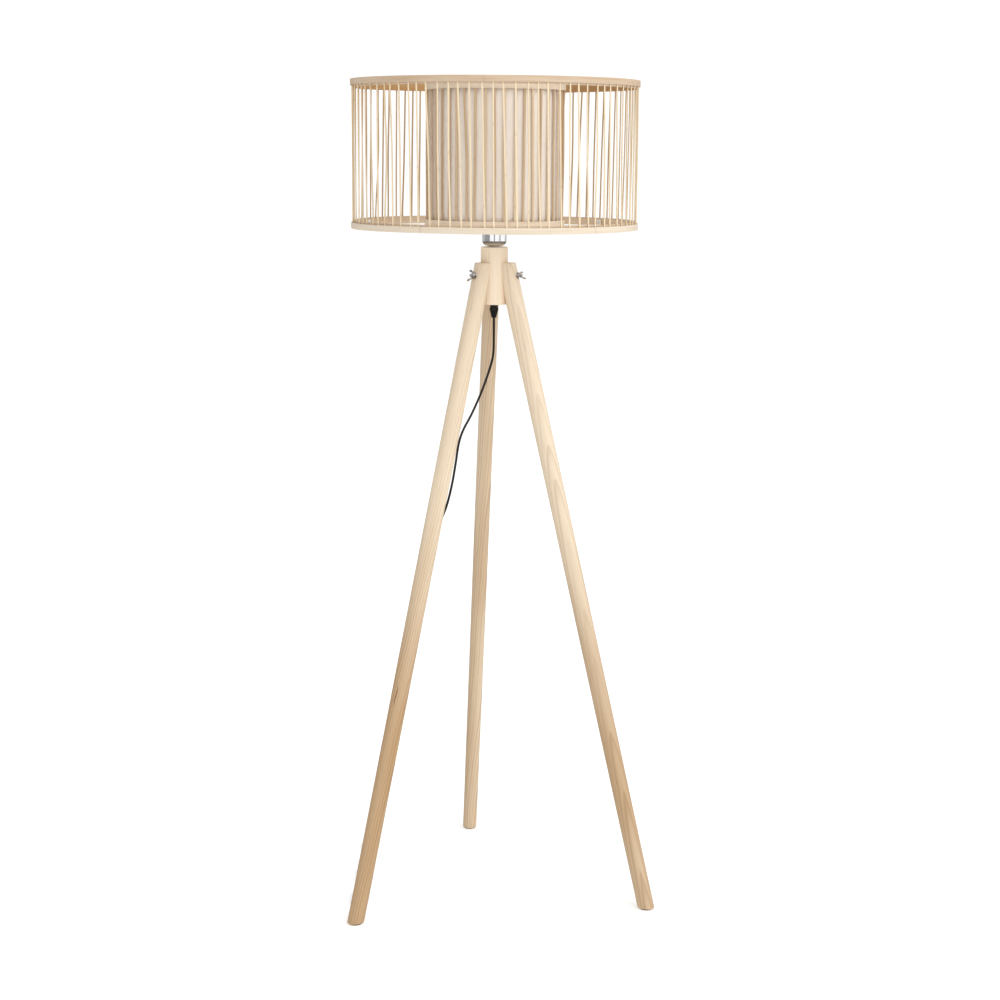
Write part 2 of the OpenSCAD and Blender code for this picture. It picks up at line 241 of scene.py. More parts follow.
# %% [markdown]
# ## The cord's route
# A mains lead is a fixed length of something springy. It leaves the grip straight down,
# swings over to the back of the left leg, follows the leg in its clips, turns in a flat curve
# on the floor and runs to the switch. Behind the switch the rest is folded into a hank of
# three turns, held by a tie, with the plug beside it, all behind the left foot. A smooth
# line through chosen points gives a natural curve and keeps the true length.

# %% Lay the route
cord_d = 4.2 * MM
lead_z = 6.5 * MM
strip_x = -239.4 * MM
strip_turn = math.radians(-8.15)


def strip_at(y, z, x=0.0):
    """A point, in millimetres, along the line behind the left foot on which the cord lies."""
    x, y = x * MM, y * MM
    return [strip_x + x * math.cos(strip_turn) - y * math.sin(strip_turn),
            x * math.sin(strip_turn) + y * math.cos(strip_turn), z * MM]


def from_axis(points):
    """Points given in millimetres from the lamp's axis, in metres."""
    return [[x * MM, y * MM, z * MM] for x, y, z in points]


def flow(points, steps):
    """A smooth line through the points, the same one that the part's own cord follows."""
    p = np.asarray(points, float)
    line = []
    for k in range(len(p) - 1):
        a, b, c, d = p[max(k - 1, 0)], p[k], p[k + 1], p[min(k + 2, len(p) - 1)]
        for t in np.arange(steps) / steps:
            line.append(0.5 * (2 * b + (c - a) * t + (2 * a - 5 * b + 4 * c - d) * t ** 2
                               + (3 * b - a - 3 * c + d) * t ** 3))
    return np.array([*line, p[-1]])


def cord_piece(name, line):
    """A round cord along a line given from the lamp's axis."""
    curve = bpy.data.curves.new(name, "CURVE")
    curve.dimensions = "3D"
    curve.bevel_depth = 1  # so that a point's radius is the cord's own
    curve.bevel_resolution = 5
    spline = curve.splines.new("POLY")
    spline.points.add(len(line) - 1)
    for point, at in zip(spline.points, line):
        point.co = (AXIS_X + at[0], AXIS_Y + at[1], at[2], 1)
        point.radius = cord_d / 2
    spline.use_smooth = True
    piece = bpy.data.objects.new(name, curve)
    bpy.context.scene.collection.objects.link(piece)
    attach(piece, "stand")
    return piece


drop_points = from_axis([
    (0, 0, 1054), (0, 0, 1020), (-1, -1, 990), (-6.5, -3, 967), (-22, -14, 928), (-41, -27, 890),
    (-59, -41, 861), (-67.5, -46, 838), (-74, -51, 801), (-80.5, -54, 766), (-90, -56, 729),
    (-101, -54, 700), (-115, -55.5, 660), (-128.5, -62.5, 600), (-160, -80.5, 450),
    (-191.5, -99, 300), (-217, -113.5, 180), (-242, -128, 60), (-246, -129.5, 36),
    (-248.5, -127, 18), (-250, -120, 6.5), (-251, -108, 2.3),
]) + [strip_at(-92, 3), strip_at(-74, 6.5)]
drop_line = flow(drop_points, 8)
cord_drop = cord_piece("cord_to_switch", drop_line)
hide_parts("cord_drop")

# %% [markdown]
# ## The rest of the cord, folded into a hank
# A hank is long runs with a half-circle fold at each end. The cord enters along the bottom,
# turns up at the far fold, comes back on top and shifts sideways by its own thickness, so
# the turns lie side by side. Runs and folds follow a rule, so a loop lays them.

# %% Fold the hank
turn_r = 3 * cord_d / MM
hank_middle_z, near_y, hank_run = 15.9, 40.7, 84
far_y = near_y + hank_run
side_step = cord_d / MM
bottom_z = hank_middle_z - turn_r


def fold(centre_y, x, sign):
    """Half a circle at one end of the hank, up at the far end and down at the near end."""
    return [strip_at(centre_y + sign * turn_r * math.sin(a), hank_middle_z - sign * turn_r * math.cos(a), x)
            for a in np.linspace(0, math.pi, 15)]


link = flow([strip_at(-16, lead_z / MM), strip_at(-5, 6.2, -0.3), strip_at(9, 4.7, -2.2),
             strip_at(24, bottom_z, -4), strip_at(near_y, bottom_z, -side_step)], 8).tolist()
rest = list(link)
for turn in (-1, 0):
    x = turn * side_step
    rest += [strip_at(y, bottom_z, x) for y in np.linspace(near_y, far_y, 8)[1:-1]]
    rest += fold(far_y, x, 1)
    for y in np.linspace(far_y, near_y, 12)[1:-1]:
        way = (far_y - y) / (far_y - near_y)
        rest.append(strip_at(y, hank_middle_z + turn_r, x + side_step * way * way * (3 - 2 * way)))
    rest += fold(near_y, x + side_step, -1)
rest += [strip_at(y, bottom_z, side_step) for y in np.linspace(near_y, far_y, 8)[1:-1]]
rest += flow([strip_at(far_y, bottom_z, side_step), strip_at(141, bottom_z, 4), strip_at(158, 4.6, 2.2),
              strip_at(173, 6.2, 0.3), strip_at(184, lead_z / MM)], 8).tolist()
rest_line = np.array(rest)
cord_rest = cord_piece("cord_to_plug", rest_line)
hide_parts("cord_link", "cord_hank", "cord_tail")

# %% [markdown]
# ## Helpers that join shader nodes
# The room and every finish are worked out by small steps: a sum, a noise, a soft step from
# one value to another. Each helper adds one such node and returns what comes out of it.


# %% Node helpers
def put(tree, kind, inputs=None, **settings):
    """Adds a shader node; an input is given as a value or as another node's output."""
    node = tree.nodes.new("ShaderNode" + kind)
    for key, value in settings.items():
        setattr(node, key, value)
    for key, value in (inputs or {}).items():
        if isinstance(value, bpy.types.NodeSocket):
            tree.links.new(value, node.inputs[key])
        else:
            node.inputs[key].default_value = value
    return node


def calc(tree, operation, a, b=0.0, c=0.0):
    """One arithmetic step on numbers or sockets."""
    return put(tree, "Math", {0: a, 1: b, 2: c}, operation=operation).outputs[0]


def spread(tree, vector, x, y, z):
    """A place multiplied by its own number along each axis."""
    return put(tree, "VectorMath", {0: vector, 1: (x, y, z)}, operation="MULTIPLY").outputs[0]


def noise(tree, vector, scale=1.0, detail=2.0, rough=0.5):
    """Cloudy grey values; detail adds finer clouds."""
    return put(tree, "TexNoise", {"Vector": vector, "Scale": scale, "Detail": detail,
                                  "Roughness": rough}).outputs[0]


def ramp(tree, value, low, high, to_low=0.0, to_high=1.0):
    """A soft step from one value to another."""
    return put(tree, "MapRange", {"Value": value, "From Min": low, "From Max": high,
                                  "To Min": to_low, "To Max": to_high},
               interpolation_type="SMOOTHSTEP").outputs[0]


def tint(tree, factor, a, b, mode="MIX"):
    """A colour that goes from a to b, or is mixed in another way."""
    return put(tree, "Mix", {0: factor, 6: a, 7: b}, data_type="RGBA", blend_type=mode).outputs[2]


def between(tree, factor, a, b):
    """A number that goes from a to b as the factor goes from 0 to 1."""
    return put(tree, "Mix", {0: factor, 2: a, 3: b}, data_type="FLOAT").outputs[0]


def grey(tree, value):
    """A number as a grey colour."""
    return put(tree, "CombineColor", {0: value, 1: value, 2: value}).outputs[0]


def new_group(name, inputs, outputs):
    """An empty node group with named sockets. Returns it with its two end nodes."""
    group = bpy.data.node_groups.new(name, "ShaderNodeTree")
    for label, kind, value in inputs:
        socket = group.interface.new_socket(label, in_out="INPUT", socket_type="NodeSocket" + kind)
        if value is not None:
            socket.default_value = value
    for label, kind in outputs:
        group.interface.new_socket(label, in_out="OUTPUT", socket_type="NodeSocket" + kind)
    return group, group.nodes.new("NodeGroupInput").outputs, group.nodes.new("NodeGroupOutput").inputs


def send(group, ends, values):
    """Joins what was worked out to the group's outputs."""
    for label, value in values.items():
        group.links.new(value, ends[label])


# %% [markdown]
# ## Floor and light
# A pale seamless floor and a bright even room suit pale wood: light comes through every gap
# between the slats, and two broad soft suns give gentle modelling. The room is darker on its
# left, which shades the left side of every round piece, and two narrow dark stands show as
# thin upright lines in the polished cup. A polished piece sees the floor painted dark brown,
# browner and darker than the camera sees it, a painted shade in its reflections, so the
# rounding under the cup stands out from the pale floor.

# %% Floor
reach = 8
floor_mesh = bpy.data.meshes.new("floor")
floor_mesh.from_pydata([(-reach, -reach, 0), (reach, -reach, 0), (reach, reach, 0), (-reach, reach, 0)],
                       [], [(0, 1, 2, 3)])
floor = bpy.data.objects.new("floor", floor_mesh)
bpy.context.scene.collection.objects.link(floor)

paint = bpy.data.materials.new("floor_paint")
paint.use_nodes = True
coat = paint.node_tree
painted = coat.nodes["Principled BSDF"]
for label, value in {"Base Color": (0.9, 0.9, 0.9, 1), "Roughness": 0.9, "Specular IOR Level": 0.2,
                     "Emission Color": (1, 1, 1, 1), "Emission Strength": 0.3}.items():
    painted.inputs[label].default_value = value
# the floor as polished pieces mirror it: painted dark brown, a painted shade in reflections
mirrored_floor_shade = put(coat, "BsdfPrincipled", {"Base Color": (0.15, 0.12, 0.09, 1)})
in_mirror = put(coat, "LightPath").outputs["Is Glossy Ray"]
either = put(coat, "MixShader", {0: in_mirror, 1: painted.outputs[0], 2: mirrored_floor_shade.outputs[0]})
coat.links.new(either.outputs[0], coat.nodes["Material Output"].inputs["Surface"])
floor_mesh.materials.append(paint)
print(f"floor {2 * reach} m square")

# %% Room
world = bpy.data.worlds.new("room")
world.use_nodes = True
bpy.context.scene.world = world
room = world.node_tree
room.nodes.clear()
left_wall, back_wall, ceiling, stand_light = 0.30, 0.5, 0.62, 0.25
stand_bearings, stand_half, stand_edge = (-0.14, 0.80), 0.06, 0.05

toward = put(room, "SeparateXYZ", {0: put(room, "TexCoord").outputs["Generated"]}).outputs
bearing = calc(room, "ARCTAN2", toward["X"], calc(room, "MULTIPLY", toward["Y"], -1.0))
walls = ramp(room, bearing, -0.98, -0.78, left_wall, 1.0)
walls = between(room, ramp(room, calc(room, "ABSOLUTE", bearing), 1.7, 2.2), walls, back_wall)
for stand_bearing in stand_bearings:
    off = calc(room, "ABSOLUTE", calc(room, "SUBTRACT", bearing, stand_bearing))
    stand = ramp(room, off, stand_half, stand_half + stand_edge, stand_light, 1.0)
    walls = calc(room, "MULTIPLY", walls, stand)
lit_room = between(room, ramp(room, toward["Z"], 0.3, 0.6), walls, ceiling)
seen = put(room, "LightPath").outputs["Is Camera Ray"]
glow = put(room, "Background", {"Color": (1, 1, 1, 1), "Strength": between(room, seen, lit_room, 1.05)})
put(room, "OutputWorld", {"Surface": glow.outputs[0]})


# %% Two soft suns
def soft_sun(name, toward_light, watts, width):
    """An even light from one side; width is how many degrees of the sky it fills."""
    light = bpy.data.lights.new(name, "SUN")
    light.energy, light.angle = watts, math.radians(width)
    lamp = bpy.data.objects.new(name, light)
    lamp.rotation_euler = Vector(toward_light).to_track_quat("Z", "Y").to_euler()
    bpy.context.scene.collection.objects.link(lamp)


soft_sun("window", (0.9, -1.3, 1.5), 1.0, 50)
soft_sun("sky", (-0.2, 0.3, 2.0), 0.5, 90)
view = bpy.context.scene.view_settings
view.view_transform, view.look, view.exposure, view.gamma = "Standard", "None", 0.0, 1.0
print("two soft suns are in place")

# %% [markdown]
# ## Effects that several finishes share
# Each effect is a node group with named inputs, built once. A group only works out colours,
# roughness and height; the shader itself stays in the material. All of them work in metres,
# so grain, weave and scratches have their real size on every piece.
#
# ### Timber
# Wood is a stack of yearly rings cut through by the board's face. The distance from a pith
# line beside the stick, divided by the ring width, says where in a ring a point is; a slow
# noise bends the rings, and a pith line that isn't quite parallel to the stick makes the
# rings run out as tall pointed arches. Fine noise stretched along the stick makes fibres.

# %% Timber group
wood_group, w_in, w_out = new_group("timber", [
    ("Place", "Vector", None), ("Tone And Shade", "Float", 0.3), ("Light", "Color", (0.8, 0.7, 0.5, 1)),
    ("Deep", "Color", (0.7, 0.55, 0.35, 1)), ("Line", "Color", (0.55, 0.36, 0.18, 1)),
    ("Ring Width", "Float", 0.004), ("Run Out", "Float", 0.02), ("Line Strength", "Float", 0.4),
    ("Fibre Strength", "Float", 0.12), ("Gloss", "Float", 0.5)],
    [("Color", "Color"), ("Roughness", "Float"), ("Height", "Float")])
pith_x, pith_y, ring_waver = 0.021, 0.004, 0.016
t = wood_group
place = w_in["Place"]
part = put(t, "SeparateXYZ", {0: place}).outputs
bend_noise = noise(t, spread(t, place, 9, 9, 2.4), detail=2)
waver = calc(t, "MULTIPLY", calc(t, "SUBTRACT", bend_noise, 0.5), ring_waver)
off_x = calc(t, "ADD", calc(t, "MULTIPLY_ADD", part["Z"], w_in["Run Out"], part["X"]), pith_x)
off_y = calc(t, "ADD", part["Y"], pith_y)
radius = calc(t, "ADD", calc(t, "SQRT", calc(t, "ADD", calc(t, "MULTIPLY", off_x, off_x),
                                            calc(t, "MULTIPLY", off_y, off_y))), waver)
years = calc(t, "DIVIDE", radius, w_in["Ring Width"])
in_year = calc(t, "FRACT", years)
late = calc(t, "MULTIPLY", ramp(t, in_year, 0.35, 0.93), ramp(t, in_year, 0.93, 1.0, 1, 0))
faint = ramp(t, noise(t, grey(t, calc(t, "FLOOR", years)), 7.31, 0), 0.3, 0.7, 0.25, 1)
fibre = noise(t, spread(t, place, 1400, 1400, 16), detail=3, rough=0.6)
pore = ramp(t, noise(t, spread(t, place, 620, 620, 26), detail=1), 0.6, 0.74)
patch = ramp(t, noise(t, spread(t, place, 22, 22, 2.1), detail=2), 0.3, 0.7)
aged = ramp(t, calc(t, "ADD", w_in["Tone And Shade"], calc(t, "MULTIPLY_ADD", patch, 0.3, -0.12)), 0.0, 1.0)
body = tint(t, aged, w_in["Light"], w_in["Deep"])
shown = calc(t, "MULTIPLY", w_in["Line Strength"], ramp(t, w_in["Tone And Shade"], 0.1, 0.8, 0.7, 1.7))
lined = tint(t, calc(t, "MULTIPLY", calc(t, "MULTIPLY", late, faint), shown), body, w_in["Line"])
dark = calc(t, "SUBTRACT", 1.0, calc(t, "MULTIPLY", calc(t, "MAXIMUM", fibre, pore),
                                     w_in["Fibre Strength"]))
send(t, w_out, {
    "Color": tint(t, 1.0, lined, grey(t, dark), "MULTIPLY"),
    "Roughness": calc(t, "MULTIPLY_ADD", fibre, 0.14, w_in["Gloss"]),
    "Height": calc(t, "SUBTRACT", calc(t, "MULTIPLY", fibre, 0.35), calc(t, "ADD", pore, late))})

# %% [markdown]
# ### Split bamboo
# Bamboo has no rings, only straight fibres, and a pale joint every hand's length or two where
# the wall was. A tone stored with each strip makes it lighter or darker than its neighbour, and
# the same stored number paints shade on faces that look into a drum.

# %% Bamboo group
bamboo_group, b_in, b_out = new_group("split_bamboo", [
    ("Place", "Vector", None), ("Tone And Shade", "Float", 0.5), ("Light", "Color", (0.85, 0.7, 0.45, 1)),
    ("Deep", "Color", (0.7, 0.5, 0.28, 1)), ("Joint", "Color", (0.5, 0.33, 0.16, 1)),
    ("Joint Strength", "Float", 0.5)],
    [("Color", "Color"), ("Roughness", "Float"), ("Height", "Float")])
joint_every = 0.31
t = bamboo_group
place = b_in["Place"]
along = put(t, "SeparateXYZ", {0: place}).outputs["Z"]
strand = noise(t, spread(t, place, 1900, 1900, 7), detail=3, rough=0.65)
cloud = noise(t, spread(t, place, 160, 160, 9), detail=2)
shade = ramp(t, calc(t, "ADD", b_in["Tone And Shade"], calc(t, "MULTIPLY_ADD", cloud, 0.4, -0.2)), 0.0, 1.0)
in_length = calc(t, "FRACT", calc(t, "DIVIDE", along, joint_every))
near_joint = calc(t, "ABSOLUTE", calc(t, "SUBTRACT", in_length, 0.5))
joint = ramp(t, near_joint, 0.004, 0.013, 1, 0)
body = tint(t, shade, b_in["Light"], b_in["Deep"])
jointed = tint(t, calc(t, "MULTIPLY", joint, b_in["Joint Strength"]), body, b_in["Joint"])
dark = calc(t, "SUBTRACT", 1.0, calc(t, "MULTIPLY", ramp(t, strand, 0.35, 0.75), 0.15))
send(t, b_out, {
    "Color": tint(t, 1.0, jointed, grey(t, dark), "MULTIPLY"),
    "Roughness": calc(t, "MULTIPLY_ADD", strand, 0.2, 0.4),
    "Height": calc(t, "ADD", calc(t, "MULTIPLY", strand, 0.4), joint)})

# %% [markdown]
# ### Moulded plastic, rubber and metal
# A moulded skin has a fine even roughness from the spark-eroded mould and a faint cloudiness.
# Metal needs fine lines from rolling or turning and cloudy smudges that dull it a little.

# %% Plastic and metal groups
skin_group, s_in, s_out = new_group("moulded_skin", [
    ("Place", "Vector", None), ("Colour", "Color", (0.5, 0.5, 0.5, 1)), ("Gloss", "Float", 0.45),
    ("Grain", "Float", 2600.0)],
    [("Color", "Color"), ("Roughness", "Float"), ("Height", "Float")])
t = skin_group
speck = noise(t, s_in["Place"], s_in["Grain"], 2)
cloud = noise(t, s_in["Place"], 70.0, 3)
send(t, s_out, {
    "Color": tint(t, 1.0, s_in["Colour"], grey(t, ramp(t, cloud, 0.25, 0.75, 0.9, 1.1)), "MULTIPLY"),
    "Roughness": calc(t, "ADD", calc(t, "MULTIPLY_ADD", cloud, 0.16, s_in["Gloss"]),
                      calc(t, "MULTIPLY", speck, 0.06)),
    "Height": speck})

metal_group, m_in, m_out = new_group("worked_metal", [
    ("Place", "Vector", None), ("Colour", "Color", (0.7, 0.7, 0.7, 1)), ("Polish", "Float", 0.3),
    ("Smudge", "Float", 0.1), ("Lines", "Vector", (300, 300, 3000))],
    [("Color", "Color"), ("Roughness", "Float"), ("Height", "Float")])
t = metal_group
stretched = put(t, "VectorMath", {0: m_in["Place"], 1: m_in["Lines"]}, operation="MULTIPLY").outputs[0]
lines = noise(t, stretched, detail=2)
cloud = noise(t, m_in["Place"], 120.0, 3)
send(t, m_out, {
    "Color": tint(t, 1.0, m_in["Colour"], grey(t, ramp(t, cloud, 0.2, 0.8, 0.93, 1.05)), "MULTIPLY"),
    "Roughness": calc(t, "ADD", calc(t, "MULTIPLY_ADD", cloud, m_in["Smudge"], m_in["Polish"]),
                      calc(t, "MULTIPLY", lines, m_in["Smudge"])),
    "Height": lines})

# %% [markdown]
# ### Plain weave
# The liner is cotton cloth glued to a clear stiff sheet. In a plain weave each thread goes
# over one and under the next, so a chequer of cells decides which thread is on top, and
# each thread is round across its width.

# %% Weave group
weave_group, v_in, v_out = new_group("plain_weave", [
    ("Place", "Vector", None), ("Thread", "Float", 0.00055), ("Light", "Color", (0.9, 0.86, 0.8, 1)),
    ("Deep", "Color", (0.75, 0.7, 0.62, 1))],
    [("Color", "Color"), ("Roughness", "Float"), ("Height", "Float")])
t = weave_group
sway = spread(t, put(t, "TexNoise", {"Vector": v_in["Place"], "Scale": 60.0}).outputs["Color"],
              0.0004, 0.0004, 0.0004)
swayed = put(t, "VectorMath", {0: v_in["Place"], 1: sway}, operation="ADD").outputs[0]
cell_size = put(t, "CombineXYZ", {0: v_in["Thread"], 1: v_in["Thread"], 2: 1.0}).outputs[0]
cells = put(t, "VectorMath", {0: swayed, 1: cell_size}, operation="DIVIDE").outputs[0]
cell = put(t, "SeparateXYZ", {0: cells}).outputs


def thread_round(value):
    """Height across a round thread, from 0 at its edges to 1 in the middle."""
    across = calc(t, "MULTIPLY_ADD", calc(t, "FRACT", value), 2.0, -1.0)
    return calc(t, "SUBTRACT", 1.0, calc(t, "MULTIPLY", across, across))


over = calc(t, "PINGPONG", calc(t, "ADD", calc(t, "FLOOR", cell["X"]), calc(t, "FLOOR", cell["Y"])), 1.0)
warp, weft = thread_round(cell["X"]), thread_round(cell["Y"])
warp_over = calc(t, "MULTIPLY", warp, calc(t, "MULTIPLY_ADD", weft, 0.5, 0.5))
weft_over = calc(t, "MULTIPLY", weft, calc(t, "MULTIPLY_ADD", warp, 0.5, 0.5))
top = between(t, over, warp_over, weft_over)
slub = noise(t, spread(t, v_in["Place"], 900, 60, 1), detail=1)
# thread crowns are painted lighter and the hollows between threads darker, a painted shade, mixed with the
# threads' own slubs
lit = calc(t, "MULTIPLY_ADD", top, 0.7, calc(t, "MULTIPLY", slub, 0.45))
send(t, v_out, {"Color": tint(t, ramp(t, lit, 0.1, 0.9), v_in["Deep"], v_in["Light"]),
                "Roughness": ramp(t, top, 0, 1, 0.95, 0.8), "Height": top})
print("node groups:", [g.name for g in bpy.data.node_groups])

# %% [markdown]
# ## Finishes
# One function joins an effect to a shader: colour and roughness go straight in, height goes
# through a Bump node. Wood and cloth read their place from numbers stored in the mesh, so the
# grain can follow a leaning leg or a bent hoop; the other finishes read the piece's own space.

# %% Finish maker


def finish(name, group, values, bump, stored=False, **shader):
    """A material that puts one effect group in front of a Principled shader."""
    material = bpy.data.materials.new(name)
    material.use_nodes = True
    tree = material.node_tree
    effect = put(tree, "Group")
    effect.node_tree = group
    if stored:
        place = put(tree, "Attribute", attribute_name="grain").outputs["Vector"]
        # the stored number is each piece's own tone and, on legs, hoops and slats, painted shade too
        if "Tone And Shade" in effect.inputs:
            tone_and_shade = put(tree, "Attribute", attribute_name="tone_and_shade").outputs["Fac"]
            tree.links.new(tone_and_shade, effect.inputs["Tone And Shade"])
    else:
        place = put(tree, "TexCoord").outputs["Object"]
    tree.links.new(place, effect.inputs["Place"])
    for label, value in values.items():
        effect.inputs[label].default_value = value
    depth, strength = bump
    relief = put(tree, "Bump", {"Height": effect.outputs["Height"], "Distance": depth,
                                "Strength": strength})
    glossy = tree.nodes["Principled BSDF"]
    tree.links.new(effect.outputs["Color"], glossy.inputs["Base Color"])
    tree.links.new(effect.outputs["Roughness"], glossy.inputs["Roughness"])
    tree.links.new(relief.outputs["Normal"], glossy.inputs["Normal"])
    for label, value in shader.items():
        glossy.inputs[label.replace("_", " ")].default_value = value
    return material


def rgb(red, green, blue):
    """A colour from its usual 0 to 255 numbers, as the shader wants it."""
    return (*(((c / 255 + 0.055) / 1.055) ** 2.4 if c > 10 else c / 3295 for c in (red, green, blue)), 1)


# %% [markdown]
# ### Pale timber and bamboo
# The legs and hub are a pale, lightly lacquered timber, cream with pinkish and tan streaks.
# The hoops and slats are bamboo that has gone a little golden.

# %% Wood finishes
coloured = {
    "leg_wood": finish("pale_timber", wood_group, {
        "Light": rgb(247, 228, 200), "Deep": rgb(195, 159, 115), "Line": rgb(152, 106, 60),
        "Ring Width": 0.0046, "Run Out": 0.045, "Line Strength": 0.32, "Fibre Strength": 0.17,
        "Gloss": 0.44}, (0.00012, 0.6), stored=True, Coat_Weight=0.08, Coat_Roughness=0.4),
    "hub_wood": finish("turned_timber", wood_group, {
        "Light": rgb(253, 236, 210), "Deep": rgb(214, 177, 133), "Line": rgb(206, 166, 122),
        "Ring Width": 0.0055, "Run Out": 0.05, "Line Strength": 0.24, "Fibre Strength": 0.06,
        "Gloss": 0.42}, (0.0001, 0.5), stored=True, Coat_Weight=0.1, Coat_Roughness=0.35),
    "hoop_wood": finish("bent_bamboo", bamboo_group, {
        "Light": rgb(243, 228, 206), "Deep": rgb(185, 140, 86), "Joint": rgb(150, 108, 66),
        "Joint Strength": 0.12}, (0.0001, 0.5), stored=True),
    "slat_wood": finish("split_bamboo", bamboo_group, {
        "Light": rgb(251, 231, 196), "Deep": rgb(186, 151, 110), "Joint": rgb(160, 122, 82),
        "Joint Strength": 0.15}, (0.0001, 0.5), stored=True),
    "liner_fabric": finish("glued_cotton", weave_group, {
        "Light": rgb(254, 245, 234), "Deep": rgb(230, 214, 196)}, (0.0002, 0.6), stored=True,
        Sheen_Weight=0.2, Sheen_Roughness=0.5),
}
print("wood and cloth:", list(coloured))

# %% [markdown]
# ### Metals, plastics, rubber and glass
# Chrome plate is nearly a mirror, so it needs only a trace of smudge. Zinc plate and brass
# are duller. The lampholder's insert and ring are white plastic, everything on the cord is
# black, and the bulb is opal glass, which lets light a little way in.

# %% Other finishes
coloured.update({
    "chrome": finish("chrome_plate", metal_group, {
        "Colour": (0.97, 0.975, 0.985, 1), "Polish": 0.03, "Smudge": 0.02}, (0.00002, 0.05), Metallic=1.0),
    "steel": finish("zinc_plate", metal_group, {
        "Colour": (0.68, 0.68, 0.70, 1), "Polish": 0.18, "Smudge": 0.12}, (0.00005, 0.3), Metallic=1.0),
    "bulb_metal": finish("rolled_aluminium", metal_group, {
        "Colour": (0.75, 0.75, 0.76, 1), "Polish": 0.25, "Smudge": 0.12}, (0.00005, 0.2), Metallic=1.0),
    "blade_metal": finish("nickel_plate", metal_group, {
        "Colour": (0.70, 0.68, 0.64, 1), "Polish": 0.2, "Smudge": 0.12}, (0.00003, 0.2), Metallic=1.0),
    "brass": finish("plain_brass", metal_group, {
        "Colour": (0.72, 0.52, 0.22, 1), "Polish": 0.24, "Smudge": 0.14}, (0.00005, 0.3), Metallic=1.0),
    "painted_steel": finish("cream_paint", skin_group, {
        "Colour": rgb(232, 228, 218), "Gloss": 0.3, "Grain": 900.0}, (0.00005, 0.3), Coat_Weight=0.3),
    "white_plastic": finish("white_moulding", skin_group, {
        "Colour": rgb(238, 234, 226), "Gloss": 0.34}, (0.00004, 0.3)),
    "black_plastic": finish("black_moulding", skin_group, {
        "Colour": rgb(14, 14, 15), "Gloss": 0.5}, (0.00005, 0.4)),
    "cord_rubber": finish("black_cord", skin_group, {
        "Colour": rgb(22, 17, 15), "Gloss": 0.5, "Grain": 1500.0}, (0.00005, 0.3)),
    "pad_rubber": finish("dark_rubber", skin_group, {
        "Colour": rgb(78, 66, 58), "Gloss": 0.7, "Grain": 1200.0}, (0.0001, 0.6)),
    "opal_glass": finish("opal_glass", skin_group, {
        "Colour": rgb(244, 242, 236), "Gloss": 0.08, "Grain": 60.0}, (0.00003, 0.1),
        Subsurface_Weight=0.3, Subsurface_Scale=0.01, Coat_Weight=0.5),
})
slot_of = {part["node"]: part["material_slot"] for part in record["subparts"]}
print(len(coloured), "finishes for", len(set(slot_of.values())), "slots")

# %% [markdown]
# ## Standing in for a node
# Every detailed piece below stands for a node of the frame: it rides on the same body, gets
# the finish of the node's slot, and the node itself is hidden. The two lengths of cord were
# laid before there were any finishes, so they get theirs here.


# %% Dress the pieces
def paint_piece(piece, slot):
    """Gives a piece the finish of a slot."""
    piece.data.materials.clear()
    piece.data.materials.append(coloured[slot])


def piece_for(node, mesh, name=None, sharp=40):
    """A detailed piece that stands for a CAD node: same body, same slot, better shape."""
    body = nodes[node]["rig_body"]
    piece = show(name or node.replace("_", "-"), mesh, body, sharp)
    paint_piece(piece, slot_of[node])
    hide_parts(node)
    return piece


for cord in (cord_drop, cord_rest):
    paint_piece(cord, "cord_rubber")

# %% [markdown]
# ## The turned hub
# The hub is a short post turned on a lathe, with a hole for the threaded tube down its
# middle and slightly broken edges. Turning an outline about the axis is how the real one is
# made. Its grain runs upright, so the rings show on its end and arches on its face.

# %% Hub
tube_r, soft_edge, hub_tone = 5.25 * MM, 1.3 * MM, 0.12
hub_outline = rounded([(tube_r, hub_low.z), (hub_radius, hub_low.z), (hub_radius, hub_high.z),
                       (tube_r, hub_high.z)], [0, soft_edge, soft_edge, 0], 5)
hub_mesh = build("hub", [turned(hub_outline, 160)])
write_vectors(hub_mesh, "grain", points_of(hub_mesh) - on_axis(0.004, 0.012, 0.9))
write_numbers(hub_mesh, "tone_and_shade", [hub_tone] * len(hub_mesh.vertices))
piece_for("hub", hub_mesh, "turned-hub")
print("hub:", len(hub_mesh.vertices), "vertices")

# %% [markdown]
# ## The three legs
# Each leg is an oval stick, a little thicker at the top, cut level at both ends so that it
# leans outward. Its head is coped, which means hollowed to fit round the hub, and it has a
# flat drilled spot for the washer. Rings parallel to the floor make the level cuts easy;
# the cope and the spot are cut with booleans, as a shop would cut them, and a small bevel
# breaks the new edges. The grain follows the stick, and each leg has its own piece of wood.

# %% Legs
directions = {"left": 210, "right": 330, "back": 90}
foot_reach, head_reach = 303 * MM, 23 * MM
foot_z, head_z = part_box("foot_pads")[1].z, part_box("leg_left")[1].z
lean = math.atan((foot_reach - head_reach) / head_z)
foot_r, head_r, half_oval = 13.1 * MM, 14.2 * MM, 1.8 * MM
stud_z = 1130 * MM


def facing(direction, distance, z=0.0):
    """The frame of something that points straight away from the lamp's axis: its own Z."""
    a = math.radians(direction)
    return (Matrix.Translation(on_axis(math.cos(a) * distance, math.sin(a) * distance, z))
            @ Matrix.Rotation(a, 4, "Z") @ Matrix.Rotation(math.pi / 2, 4, "Y"))


def oval(r, count=64):
    """The outline of an oval stick: two half circles a little apart."""
    a = np.linspace(0, 2 * math.pi, count, endpoint=False)
    return np.stack([r * np.cos(a) + half_oval * np.sign(np.cos(a).round(6)), r * np.sin(a)], 1)


